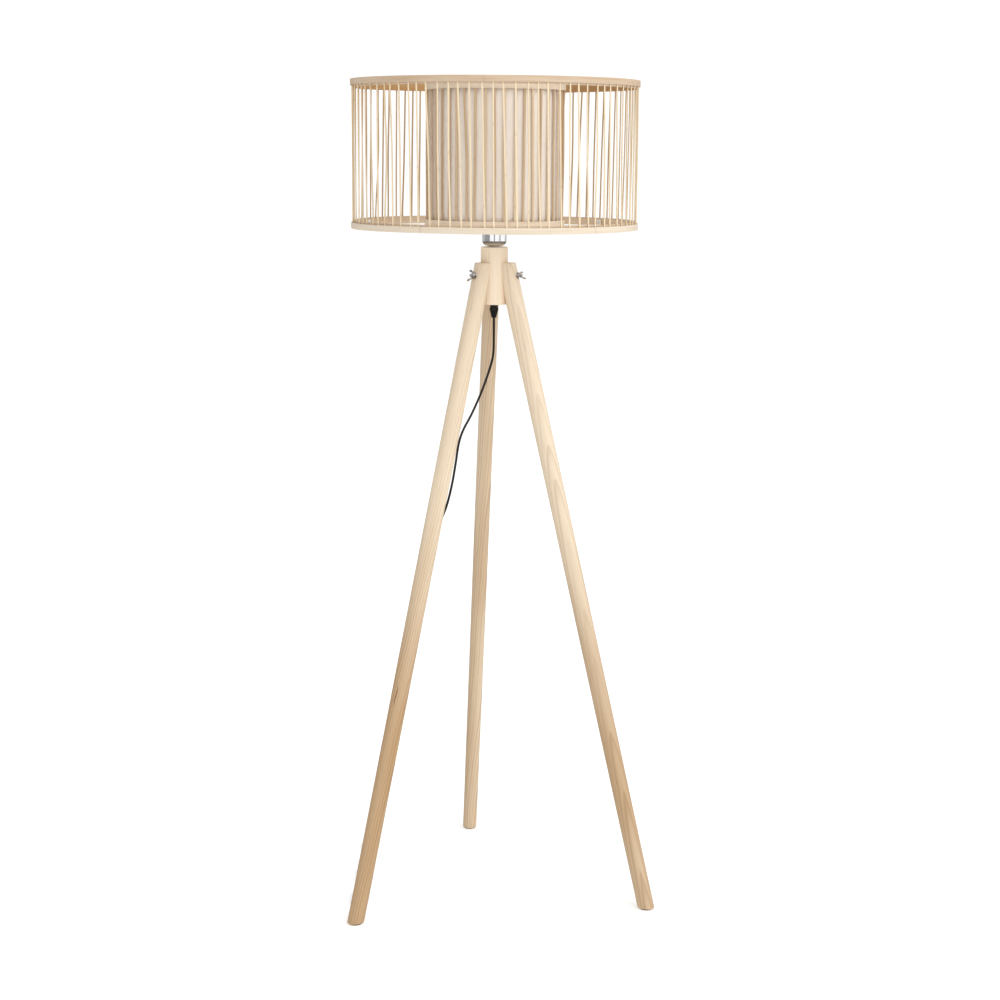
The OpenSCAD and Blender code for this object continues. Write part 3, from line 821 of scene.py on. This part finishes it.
def leg_rings(direction):
    """Level rings up the leg, drawn in a little at foot and head for the broken edges."""
    corner = np.linspace(0, math.pi / 2, 5)
    low = [(foot_z + 1.8 * MM * (1 - math.sin(a)), 1.8 * MM * (1 - math.cos(a))) for a in corner[::-1]]
    high = [(head_z - 1.2 * MM * (1 - math.sin(a)), 1.2 * MM * (1 - math.cos(a))) for a in corner]
    middle = [(z, 0) for z in np.linspace(low[-1][0], high[0][0], 34)[1:-1]]
    rings = []
    turn = math.radians(direction)
    for z, inset in low + middle + high:
        out = oval(foot_r + (head_r - foot_r) * z / head_z - inset)
        x, y = foot_reach - z * math.tan(lean) + out[:, 0] / math.cos(lean), out[:, 1]
        rings.append(np.stack([AXIS_X + x * math.cos(turn) - y * math.sin(turn),
                               AXIS_Y + x * math.sin(turn) + y * math.cos(turn), np.full(len(x), z)], 1))
    return rings, False


def cutter(name, outline, matrix, segments=96):
    """A round tool for a boolean cut; it is removed after use."""
    tool = bpy.data.objects.new(name, build(name, [turned(outline, segments, matrix)]))
    bpy.context.scene.collection.objects.link(tool)
    return tool


def cut(piece, tools, edge):
    """Cuts the tools out of a piece, breaks the new edges and keeps the result."""
    for tool in tools:
        step = piece.modifiers.new("cut", "BOOLEAN")
        step.operation, step.solver, step.object = "DIFFERENCE", "EXACT", tool
    bevel = piece.modifiers.new("edge", "BEVEL")
    bevel.width, bevel.segments, bevel.limit_method, bevel.angle_limit = edge, 2, "ANGLE", math.radians(50)
    mesh = after_modifiers(piece)
    for tool in tools:
        bpy.data.objects.remove(tool)
    mesh.shade_smooth()
    mesh.set_sharp_from_angle(angle=math.radians(45))
    return mesh


cope_r, spot_r, spot_from = hub_radius + 0.08 * MM, 7.2 * MM, 43 * MM
cope = [(0, 1.0), (cope_r, 1.0), (cope_r, 1.3), (0, 1.3)]
spot = [(0, 0), (spot_r, 0), (spot_r, 30 * MM), (0, 30 * MM)]
# each leg's tone at its head and at its foot, and how its board was turned, in degrees
# Toward the foot the tone deepens, partly the wood's own colour and partly painted shade near the floor;
# the back leg is darker all along.
leg_tones_and_shade = {"left": (0.04, 0.9, 60), "right": (0.04, 0.6, 250), "back": (0.42, 0.48, 310)}


def drying_check(direction, z, turn, length, half_width):
    """A tool for a short split along the grain: a wedge that is widest in its middle."""
    at = facing(direction, foot_reach - z * math.tan(lean), z) @ Matrix.Rotation(-lean, 4, "Y")
    side = at @ Matrix.Rotation(math.radians(turn), 4, "X")
    wedge = ((-0.2, 0.75), (0.2, 0.75), (1, 1.2), (-1, 1.2))
    rings = []
    for s in np.linspace(-1, 1, 13):
        half = max(half_width * (1 - s * s), 0.02 * MM)
        bend = 0.8 * MM * math.sin(3 * s)
        rings.append([(-s * length / 2, bend + half * across, foot_r * out) for across, out in wedge])
    tool = bpy.data.objects.new("check_tool", build("check_tool", [(moved(rings, side), False)]))
    bpy.context.scene.collection.objects.link(tool)
    return tool


for number, (side, direction) in enumerate(directions.items()):
    leg = piece_for(f"leg_{side}", build(f"leg-{side}", [leg_rings(direction)]), f"tapered-leg-{side}")
    tools = [cutter("cope_tool", cope, upright, 160),
             cutter("spot_tool", spot, facing(direction, spot_from, stud_z), 48)]
    if side == "left":
        tools.append(drying_check(direction, z=0.40, turn=-25, length=36 * MM, half_width=1.35 * MM))
    mesh = cut(leg, tools, 0.35 * MM)
    own = (Matrix.Rotation(lean, 4, "Y") @ Matrix.Translation((-foot_reach, 0, 0))
           @ Matrix.Rotation(math.radians(-direction), 4, "Z") @ upright.inverted())
    head_tone_and_shade, foot_tone_and_shade, board_turn = leg_tones_and_shade[side]
    board = Matrix.Rotation(math.radians(board_turn), 4, "Z")
    grain = moved(points_of(mesh), board @ own) + np.array([0.002, 0.011, 0.7]) * (number + 1)
    write_vectors(mesh, "grain", grain)
    # tone from head to foot: partly the wood's own colour, partly painted shade near the floor
    rise = np.clip((points_of(mesh)[:, 2] - 0.25) / 0.7, 0, 1)
    write_numbers(mesh, "tone_and_shade", foot_tone_and_shade + (head_tone_and_shade - foot_tone_and_shade) * rise * rise * (3 - 2 * rise))
    print(f"leg {side}: {len(mesh.vertices)} vertices, leaning {math.degrees(lean):.1f} degrees")

# %% [markdown]
# ## Pads, studs, washers and wing nuts
# A thin rubber pad sits under each foot. Each leg is clamped by a stud that is screwed into
# the hub and a wing nut on a washer. A thread is a groove that climbs by one pitch a turn,
# so the rod's radius simply depends on height minus turn. The cast wing nuts are made as
# rough solids, melted together by a voxel remesh and smoothed, which rounds them like castings.

# %% Pads and threads
pad_low, pad_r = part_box("foot_pads")[0].z, 11 * MM
pad_outline = box_outline(0, pad_low, pad_r, foot_z, 0.5 * MM)
pads = []
for direction in directions.values():
    under_foot = facing(direction, foot_reach - 0.5 * MM) @ Matrix.Rotation(-math.pi / 2, 4, "Y")
    pads.append(turned(pad_outline, 64, under_foot))
piece_for("foot_pads", build("pads", pads), "rubber-pads")


def threaded(radius, pitch, depth, low, high, matrix, sides=28, steps=5):
    """A rod with a screw thread, as rings up its own Z, drawn in at both ends."""
    a = np.linspace(0, 2 * math.pi, sides, endpoint=False)
    rings = []
    for z in np.arange(low, high, pitch / steps):
        groove = np.abs(((z / pitch - a / (2 * math.pi)) % 1) * 2 - 1)
        near_end = np.clip((pitch - min(z - low, high - z)) / pitch, 0, 1) * depth
        r = radius - np.maximum(depth * groove, near_end)
        rings.append(np.stack([r * np.cos(a), r * np.sin(a), np.full(sides, z)], 1))
    return moved(rings, matrix), False


stud_r, stud_pitch, stud_depth, stud_from, stud_to = (v * MM for v in (2.5, 0.8, 0.45, 9.5, 53))
studs = [threaded(stud_r, stud_pitch, stud_depth, stud_from, stud_to, facing(d, 0, stud_z))
         for d in directions.values()]
piece_for("leg_studs", build("studs", studs), "threaded-studs", sharp=60)

washer_outline = box_outline(2.8 * MM, 0, 5.6 * MM, 1.2 * MM, 0.25 * MM)
washers = [turned(washer_outline, 64, facing(d, spot_from, stud_z)) for d in directions.values()]
piece_for("leg_washers", build("washers", washers), "round-washers")

# %% Wing nuts
nut_seat, ear_half = 44.25 * MM, 0.8 * MM
nut_turn = {"left": -22, "right": 52, "back": 30}
ear_points = [(2.4, 0.8), (4.6, 0.7), (6.9, 3.6), (8.7, 7.0), (10.6, 8.6), (11.4, 10.6), (10.4, 12.6),
              (8.2, 12.8), (6.6, 11.2), (6.2, 8.8), (5.0, 6.2), (2.4, 4.8)]


def wing_nut(side):
    boss = rounded([(2.55, 0), (4.2, 0), (3.5, 5.5), (2.55, 5.5)], [0, 0.3, 0.4, 0], 3) * MM
    own = facing(directions[side], nut_seat, stud_z) @ Matrix.Rotation(math.radians(nut_turn[side]), 4, "Z")
    parts = [turned(boss, 64, own)]
    for flip in (0, math.pi):
        ear = Matrix.Rotation(flip, 4, "Z")
        rings = [[(x * MM, side_y, y * MM) for x, y in ear_points] for side_y in (-ear_half, ear_half)]
        parts.append((moved(rings, own @ ear), False))
    nut = piece_for(f"wing_nut_{side}", build("nut", parts), f"cast-wing-nut-{side}")
    melt = nut.modifiers.new("melt", "REMESH")
    melt.mode, melt.voxel_size = "VOXEL", 0.32 * MM
    ease = nut.modifiers.new("ease", "SMOOTH")
    ease.factor, ease.iterations = 0.5, 5
    after_modifiers(nut).shade_smooth()
    paint_piece(nut, "steel")
    return nut


for side in directions:
    nut = wing_nut(side)

# %% [markdown]
# ## The chrome cup
# A spun and plated cup sits on the hub and hides the lampholder's lower half. Its profile is
# a straight wall that rounds into a flat bottom, with a rolled upper rim. Many segments keep
# its reflections clean, because a mirror shows every flat.

# %% Cup
cup_low, cup_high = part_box("lamp_cup")
cup_r, wall = (cup_high.x - cup_low.x) / 2, 0.9 * MM
bottom_round = 9 * MM
outer = rounded([(tube_r, cup_low.z), (cup_r, cup_low.z), (cup_r, cup_high.z - wall)],
                [0, bottom_round, 0], 24)
rim = [(cup_r - wall / 2 * (1 - math.cos(a)), cup_high.z - wall / 2 * (1 - math.sin(a)))
       for a in np.linspace(0, math.pi, 9)[1:-1]]
inner = rounded([(tube_r, cup_low.z + wall), (cup_r - wall, cup_low.z + wall),
                 (cup_r - wall, cup_high.z - wall)], [0, bottom_round - wall, 0], 16)
cup_outline = np.array([*outer, *rim, *inner[::-1]])
piece_for("lamp_cup", build("cup", [turned(cup_outline, 192)]), "chrome-cup", sharp=50)

# %% [markdown]
# ## Softened stampings and mouldings
# The spider, the nuts, the lampholder parts, the switch and the plug have the right shape in
# the frame, but their edges are razor sharp. A copy of each is welded, cleared of needless
# flat triangles and given a small rounded edge, which is what catches the light on real parts.

# %% Round the edges of what the frame holds


def softened(node, width, name=None, sharp=40, segments=3):
    """A copy of a CAD node with rounded edges, which then stands for that node."""
    mesh = nodes[node].data.copy()
    bm = bmesh.new()
    bm.from_mesh(mesh)
    bmesh.ops.remove_doubles(bm, verts=bm.verts, dist=1e-6)
    bmesh.ops.dissolve_limit(bm, angle_limit=math.radians(0.4), verts=bm.verts, edges=bm.edges)
    mesh = bpy.data.meshes.new(node)
    bm.to_mesh(mesh)
    bm.free()
    piece = piece_for(node, mesh, name)
    bevel = piece.modifiers.new("edge", "BEVEL")
    bevel.width, bevel.segments, bevel.limit_method = width, segments, "ANGLE"
    bevel.angle_limit, bevel.harden_normals = math.radians(sharp), False
    mesh = after_modifiers(piece)
    mesh.shade_smooth()
    mesh.set_sharp_from_angle(angle=math.radians(sharp))
    return piece


edges = {"spider": 0.25, "shade_ring": 0.3, "holder_body": 0.5, "seat_nut": 0.3, "cup_nut": 0.3,
         "switch_base": 1.2, "switch_cover": 1.2, "switch_rocker": 0.5, "plug_body": 1.0,
         "plug_blades": 0.3, "holder_contact": 0.15}
for node, width in edges.items():
    piece = softened(node, width * MM)
    print(f"{piece.name}: {len(piece.data.vertices)} vertices with {width} mm edges")

# %% [markdown]
# ## The cord clips
# Two clips behind the left leg hold the cord. Each is a small moulded saddle, round-cornered
# where a hand can touch it, hollowed to sit on the leg and bored for the cord. It is made
# like the legs: a soft solid first, then the leg and the cord's way are cut out of it.

# %% Clips
clip_long, clip_half, clip_behind, clip_front = 8 * MM, 4.5 * MM, 9 * MM, 4 * MM
clip_round, clip_corner, clip_turn = 2.4 * MM, 3.2 * MM, math.radians(-26)
clip_places = [on_axis(-122.9 * MM, -59.6 * MM, 625 * MM), on_axis(-229.7 * MM, -121 * MM, 120 * MM)]


def clip_body(place):
    """A saddle before it is cut: a rounded plan, drawn in softly at its top and bottom."""
    own = Matrix.Translation(place) @ Matrix.Rotation(clip_turn, 4, "Z")
    levels = [(-clip_long / 2 + clip_round * (1 - math.sin(a)), clip_round * (1 - math.cos(a)))
              for a in np.linspace(math.pi / 2, 0, 6)]
    levels += [(-z, inset) for z, inset in levels[::-1]]
    rings = []
    for z, inset in levels:
        plan = box_outline(-clip_half + inset, -clip_behind, clip_half - inset, clip_front - inset,
                           clip_corner - inset, 8)
        rings.append([(x, y, z) for x, y in plan])
    return moved(rings, own), False


leg_tool = bpy.data.objects.new("leg_tool", build("leg_tool", [leg_rings(directions["left"])]))
bpy.context.scene.collection.objects.link(leg_tool)
clip_tools = [leg_tool]
bore_r = cord_d / 2 + 0.3 * MM
for place in clip_places:
    way = (Matrix.Translation(place) @ Matrix.Rotation(math.radians(directions["left"]), 4, "Z")
           @ Matrix.Rotation(-lean, 4, "Y"))
    bore = [(0, -clip_long), (bore_r, -clip_long), (bore_r, clip_long), (0, clip_long)]
    clip_tools.append(cutter("bore_tool", bore, way, 48))
clips = piece_for("cord_clips", build("clips", [clip_body(place) for place in clip_places]), "cord-clips")
clip_mesh = cut(clips, clip_tools, 0.25 * MM)
print(f"{clips.name}: {len(clip_mesh.vertices)} vertices")

# %% [markdown]
# ## Bent hoops
# Each rim of a drum is a thin bamboo strip bent into a ring, with its two ends planed to long
# wedges and glued over each other. So the strip is swept a little more than once round, and
# its inner or outer face tapers towards each end. The big drum's outer hoops are narrower
# than the bands inside its slats, and in both drums the slats are glued between the two.

# %% Hoops
hoop_thick, scarf_long = 2.2 * MM, 45 * MM
thin_end, glue_gap = 0.12, 0.02 * MM


def bent_hoop(node, scarf_at, outside_tone_and_shade, inside_tone_and_shade, name):
    """A hoop whose glued joint lies in the direction scarf_at. Its outer and its inner face
    each have their own tone: the inner face is darker, a painted shade for the inside of the
    drum, and the outer tones differ from hoop to hoop as painted light and shade."""
    low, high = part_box(node)
    r_out = (high.x - low.x) / 2
    r_in, scarf = r_out - hoop_thick, scarf_long / r_out
    stations = np.linspace(0, 2 * math.pi + scarf, 260)
    rings, grain, tones_and_shade = [], [], []
    rng = random.Random(node)
    lift = [rng.uniform(-0.18, 0.18) * MM for _ in range(3)]
    for t in stations:
        start, end = min(t / scarf, 1), min((2 * math.pi + scarf - t) / scarf, 1)
        outer_r = r_in + hoop_thick * (thin_end + (1 - thin_end) * start) - (glue_gap if start < 1 else 0)
        inner_r = r_out - hoop_thick * (thin_end + (1 - thin_end) * end) + (glue_gap if end < 1 else 0)
        wave = sum(h * math.sin((k + 2) * t + 2 * k) for k, h in enumerate(lift))
        outline = box_outline(inner_r, low.z + wave, outer_r, high.z + wave,
                              min(0.45 * MM, 0.45 * (outer_r - inner_r)))
        a = t + math.radians(scarf_at)
        rings.append([(AXIS_X + r * math.cos(a), AXIS_Y + r * math.sin(a), z) for r, z in outline])
        grain += [(r - r_out, z - low.z, t * r_out) for r, z in outline]
        middle = (inner_r + outer_r) / 2
        tones_and_shade += [outside_tone_and_shade if r > middle else inside_tone_and_shade for r, z in outline]
    mesh = build(name, [(rings, False)])
    grain = np.array(grain) + [rng.uniform(0, 1) for _ in range(3)]
    write_vectors(mesh, "grain", grain)
    write_numbers(mesh, "tone_and_shade", tones_and_shade)
    return piece_for(node, mesh, name)


# where each hoop is joined, in degrees, and the tone of its outer and of its inner face
# the darker inner faces are painted shade; the big drum's paler bottom hoop and darker top hoop are painted
# light and shade
hoop_facts = {"drum_top_hoop": (105, 0.5, 0.8), "drum_top_band": (60, 0.45, 0.9),
              "drum_bottom_hoop": (130, 0.17, 0.5), "drum_bottom_band": (80, 0.5, 0.5),
              "core_top_hoop": (70, 0.35, 0.7), "core_top_band": (200, 0.4, 0.8),
              "core_bottom_hoop": (95, 0.35, 0.7), "core_bottom_band": (10, 0.4, 0.8)}
for node, (scarf_at, outside_tone_and_shade, inside_tone_and_shade) in hoop_facts.items():
    name = node.replace("drum_", "bent-").replace("core_", "small-").replace("_", "-")
    hoop = bent_hoop(node, scarf_at, outside_tone_and_shade, inside_tone_and_shade, name)
    print(f"{hoop.name}: {len(hoop.data.vertices)} vertices, joined at {scarf_at} degrees")

# %% [markdown]
# ## Split bamboo slats
# Slats split by hand are never alike: each one stands a little off its mark, is bowed a
# little sideways and outward, and has its own tone. The big drum is also twisted, so that
# every slat leans the same way round, and a few strays lean far more and cross their
# neighbours. Each slat is a thin strip swept upward through a few stations.

# %% Slats
slat_t = 1.6 * MM
held = 14 * MM


def slat_ring(node, name, count, mean_r, width, outside_tone_and_shade, twist, wander, bow, strays, seed):
    """A ring of slats, with twist, wander and bow in millimetres. strays gives some slats, by
    number, their own extra lean and bow."""
    low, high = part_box(node)
    rng = random.Random(seed)
    parts, grain, tone_and_shade = [], [], []
    for i in range(count):
        head = wander * math.sin(math.radians(i * 97)) - twist / 2
        foot = wander * math.sin(math.radians(i * 151 + 40)) + twist / 2
        lean_more, bow_more = strays.get(i, (0, 0))
        side_bow = rng.gauss(0, bow) + bow_more
        out_bow, ripple, phase = rng.gauss(0, 0.3), rng.gauss(0, 0.12), rng.uniform(0, 6)
        shade, start = rng.random(), rng.uniform(0, 30)
        wide = width * rng.uniform(0.86, 1.04)
        outline = box_outline(-slat_t / 2, -wide / 2, slat_t / 2, wide / 2, 0.4 * MM, 2)
        rings = []
        for s in np.linspace(0, 1, 17):
            z = low.z + s * (high.z - low.z)
            free = np.clip((z - low.z - held) / (high.z - low.z - 2 * held), 0, 1)
            swell = math.sin(math.pi * free) ** 2
            across = (foot + (head - foot) * s + side_bow * swell + lean_more * (0.5 - s)
                      + ripple * math.sin(2 * math.pi * free + phase) * swell) * MM
            r = mean_r + out_bow * swell * MM
            a = 2 * math.pi * i / count + across / mean_r
            rings.append([(AXIS_X + (r + u) * math.cos(a) - v * math.sin(a),
                           AXIS_Y + (r + u) * math.sin(a) + v * math.cos(a), z) for u, v in outline])
            grain += [(u + start, v, z + start) for u, v in outline]
            # inner faces get a darker tone, a painted shade for the inside of the drum; the random part is
            # each slat's own tone
            tone_and_shade += [outside_tone_and_shade + shade * 0.3 if u > 0 else 0.75 + shade * 0.25 for u, v in outline]
        parts.append((rings, False))
    mesh = build(name, parts)
    write_vectors(mesh, "grain", grain)
    write_numbers(mesh, "tone_and_shade", tone_and_shade)
    piece = piece_for(node, mesh, name)
    print(f"{name}: {count} slats, {len(mesh.vertices)} vertices")
    return piece


drum_low, drum_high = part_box("drum_top_hoop")
core_low, core_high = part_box("core_top_hoop")
gap = 1.7 * MM
drum_mean = (drum_high.x - drum_low.x) / 2 - hoop_thick - gap / 2
core_mean = (core_high.x - core_low.x) / 2 - hoop_thick - gap / 2
slat_ring("drum_slats", "bamboo-slats", 84, drum_mean, width=2.9 * MM, outside_tone_and_shade=0.0, twist=5,
          wander=1.9, bow=0.6, strays={50: (-6, 5), 33: (6, -4), 12: (5, 3), 71: (-4, 2)}, seed=7)
slat_ring("core_slats", "small-bamboo-slats", 44, core_mean, width=4.4 * MM, outside_tone_and_shade=0.42, twist=0,
          wander=1.5, bow=0.4, strays={29: (3, 2)}, seed=11)

# %% [markdown]
# ## The cloth liner
# The small drum is lined with cotton cloth glued to a thin clear sheet, rolled into a tube
# that stands inside the hoops. It is one flat piece whose ends overlap by 12 mm, so it is
# swept as a thin wall a little more than once round, and the last stretch steps outward to
# lie on the first. The weave reads its place from the flat cloth, before rolling.

# %% Liner
liner_low, liner_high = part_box("liner")
liner_r, cloth_t, overlap = (liner_high.x - liner_low.x) / 2, 0.35 * MM, 12 * MM
rolled_r = liner_r - 0.45 * MM
seam_at, once = math.radians(120), 2 * math.pi
rings, grain = [], []
for turn in np.linspace(0, once + overlap / rolled_r, 241):
    step_out = np.clip((turn - once + 0.05) / 0.05, 0, 1) * 0.4 * MM
    outline = box_outline(rolled_r - cloth_t + step_out, liner_low.z, rolled_r + step_out, liner_high.z,
                          0.1 * MM, 2)
    a = turn + seam_at
    rings.append([(AXIS_X + r * math.cos(a), AXIS_Y + r * math.sin(a), z) for r, z in outline])
    grain += [(turn * rolled_r, z - liner_low.z, 0) for r, z in outline]
liner_mesh = build("liner", [(rings, False)])
write_vectors(liner_mesh, "grain", grain)
liner = piece_for("liner", liner_mesh, "cloth-liner")

# %% [markdown]
# ## The bulb
# An opal globe bulb stands in the holder. Its glass is a thin blown shell with a neck, its
# cap is rolled aluminium with the round thread of a lampholder, and the glass is opal because
# a white coat inside it spreads the light. The lamp is off.

# %% Bulb
glass_low, glass_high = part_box("bulb_glass")
ball_r, neck_r, glass_t = 30 * MM, 13.4 * MM, 1.2 * MM
ball_z = glass_high.z - ball_r


def glass_outline(inset):
    """The globe's half outline from the neck up to the pole."""
    r = ball_r - inset
    low_turn = math.radians(-42)
    neck = [(neck_r - inset, glass_low.z), (neck_r - inset * 0.98, glass_low.z + 7 * MM)]
    meet = (r * math.cos(low_turn), ball_z + r * math.sin(low_turn))
    swing = [(neck[1][0] + (meet[0] - neck[1][0]) * s ** 1.7, neck[1][1] + (meet[1] - neck[1][1]) * s)
             for s in np.linspace(0, 1, 8)[1:-1]]
    ball = [(r * math.cos(a), ball_z + r * math.sin(a)) for a in np.linspace(low_turn, math.pi / 2, 30)]
    return neck + swing + ball


glass = glass_outline(0) + glass_outline(glass_t)[::-1]
piece_for("bulb_glass", build("glass", [turned(glass, 96)]), "opal-globe", sharp=60)

cap_low, cap_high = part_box("bulb_cap")
cap_r, cap_pitch, cap_depth, cap_sides = (cap_high.x - cap_low.x) / 2, 3.63 * MM, 0.9 * MM, 64
shoulder_top = 4.6


def rolled_thread(low, high, radius, wall_t):
    """The wavy thin wall of a lamp cap, open at both ends: rings go up outside and down inside."""
    a = np.linspace(0, 2 * math.pi, cap_sides, endpoint=False)
    heights = np.linspace(low, high, 60)
    rings = []
    for heights_now, inset in ((heights, 0), (heights[::-1], wall_t)):
        for z in heights_now:
            wave = 0.5 - 0.5 * np.cos(2 * math.pi * ((z - low) / cap_pitch - a / (2 * math.pi)))
            ease = np.clip(min(z - low, high - z) / (cap_pitch / 2), 0, 1)
            r = radius - inset - cap_depth * wave * ease
            x, y = AXIS_X + r * np.cos(a), AXIS_Y + r * np.sin(a)
            rings.append(np.stack([x, y, np.full(cap_sides, z)], 1))
    return rings, True


shoulder = rounded([(3.2, 0), (9, 0), (13.2, 4), (13.2, shoulder_top), (12.5, shoulder_top), (12.5, 4.3),
                    (8.7, 0.7), (3.2, 0.7)], 0.1, 2) * MM + np.array([0, cap_low.z])
cap_wall = rolled_thread(cap_low.z + shoulder_top * MM, cap_high.z, cap_r, 0.7 * MM)
cap_mesh = build("cap", [turned(shoulder, cap_sides), cap_wall])
piece_for("bulb_cap", cap_mesh, "threaded-cap", sharp=60)
tip_low, tip_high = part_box("bulb_tip")
tip_outline = rounded([(0, tip_low.z), (3 * MM, tip_low.z), (3 * MM, tip_high.z), (0, tip_high.z)],
                      [0, 0.9 * MM, 0.2 * MM, 0], 4)
piece_for("bulb_tip", build("tip", [turned(tip_outline, 48)]), "solder-tip")
print("bulb: globe, cap and tip")

# %% [markdown]
# ## Grip and tie
# Under the hub the cord leaves through a black grip: a ribbed sleeve on the end of the
# threaded tube and a tapered nut that squeezes the cord, so a pull never reaches the
# terminals. Ribs are a small ripple in the radius. The hank is held by a soft band, which is
# the outline of the bundle at that spot, pushed out by the band's thickness.

# %% Cord grip


def ribbed(outline, ribs, depth, smooth_from, segments=144):
    """A turned piece whose radius ripples where it is wider than smooth_from."""
    rings, loop = turned(outline, segments, Matrix.Identity(4))
    for k, ring in enumerate(rings):
        ripple = depth * max(0.0, math.cos(ribs * 2 * math.pi * k / segments)) ** 2
        far = np.hypot(ring[:, 0], ring[:, 1])
        gone = np.where(far > smooth_from, ripple / np.maximum(far, 1e-6), 0)
        ring[:, :2] *= (1 - gone)[:, None]
    return moved(rings, upright), loop


sleeve_low, sleeve_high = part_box("grip_body")
sleeve_r = (sleeve_high.x - sleeve_low.x) / 2
sleeve = rounded([(5.05 * MM, sleeve_low.z), (sleeve_r, sleeve_low.z), (sleeve_r, sleeve_high.z),
                  (5.05 * MM, sleeve_high.z)], [0, 0.4 * MM, 0.3 * MM, 0], 3)
piece_for("grip_body", build("sleeve", [ribbed(sleeve, 24, 0.3 * MM, 6 * MM)]), "grip-sleeve")
nut_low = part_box("grip_nut")[0]
grip_profile = [(2.4, 0), (3.4, 0), (4.3, 1.0), (7.0, 12.3), (7.6, 12.9), (7.6, 17.5), (5.3, 17.5),
                (5.3, 15.9), (2.4, 15.9)]
grip = rounded(grip_profile, [0.2, 0.7, 1.2, 0.8, 0.4, 0.5, 0, 0, 0], 4) * MM + np.array([0, nut_low.z])
piece_for("grip_nut", build("grip", [ribbed(grip, 16, 0.45 * MM, 6.6 * MM)]), "grip-nut")

# %% Tie
tie_low, tie_high, tie_soft = 70.9, 80.5, 0.3
from_foot = rest_line - np.array([strip_x, 0, 0])
along = from_foot[:, 1] * math.cos(strip_turn) - from_foot[:, 0] * math.sin(strip_turn)
across = from_foot[:, 0] * math.cos(strip_turn) + from_foot[:, 1] * math.sin(strip_turn)
tie_y, crossings = (tie_low + tie_high) / 2 * MM, []
for k in range(len(rest_line) - 1):
    if (along[k] - tie_y) * (along[k + 1] - tie_y) < 0:
        share = (tie_y - along[k]) / (along[k + 1] - along[k])
        crossings.append((across[k] + share * (across[k + 1] - across[k]),
                          rest_line[k][2] + share * (rest_line[k + 1][2] - rest_line[k][2])))


def wrapped(centres, radius):
    """The outline of a band pulled tight round circles of one radius."""
    a = np.linspace(0, 2 * math.pi, 24, endpoint=False)
    cloud = [Vector((x + radius * math.cos(t), z + radius * math.sin(t))) for x, z in centres for t in a]
    return [cloud[k] for k in convex_hull_2d(cloud)]


tie_t, tie_points = 0.9 * MM, 96
band_in, band_out = wrapped(crossings, cord_d / 2), wrapped(crossings, cord_d / 2 + tie_t)


def resampled(outline, count):
    """The same outline with evenly spaced points, starting at its highest."""
    p = np.array([tuple(v) for v in outline])
    p = np.roll(p, -int(p[:, 1].argmax()), axis=0)
    p = np.vstack([p, p[:1]])
    far = np.concatenate([[0], np.cumsum(np.linalg.norm(np.diff(p, axis=0), axis=1))])
    at = np.linspace(0, far[-1], count, endpoint=False)
    return np.stack([np.interp(at, far, p[:, k]) for k in (0, 1)], 1)


round_in, round_out = resampled(band_in, tie_points), resampled(band_out, tie_points)
rings = []
for y, share in ((tie_low, 0.25), (tie_low + tie_soft, 1), (tie_high - tie_soft, 1), (tie_high, 0.25)):
    rings.append([strip_at(y, z / MM, x / MM) for x, z in round_in + (round_out - round_in) * share])
rings += [[strip_at(y, z / MM, x / MM) for x, z in round_in] for y in (tie_high, tie_low)]
tie_mesh = build("tie", [(np.array(rings) + np.array([AXIS_X, AXIS_Y, 0]), True)])
piece_for("cord_tie", tie_mesh, "soft-tie")
print(f"the tie holds {len(crossings)} cords")

# %% [markdown]
# ## What the cord is
# The cord is laid in two lengths, because the switch sits between them: one from the
# grip to the switch, and one from the switch through the hank to the plug.

# %% [markdown]
# ## The rest of the frame's parts
# What still shows from the frame has the right shape already: the threaded tube and the
# screw shell inside the holder. Each only takes the finish of its slot.

# %% Finish the remaining nodes and end
kept = [name for name, node in nodes.items() if not node.hide_render]
for name in kept:
    nodes[name].data.materials.clear()
    nodes[name].data.materials.append(coloured[slot_of[name]])
print("kept from the frame:", kept)

bpy.context.view_layer.update()
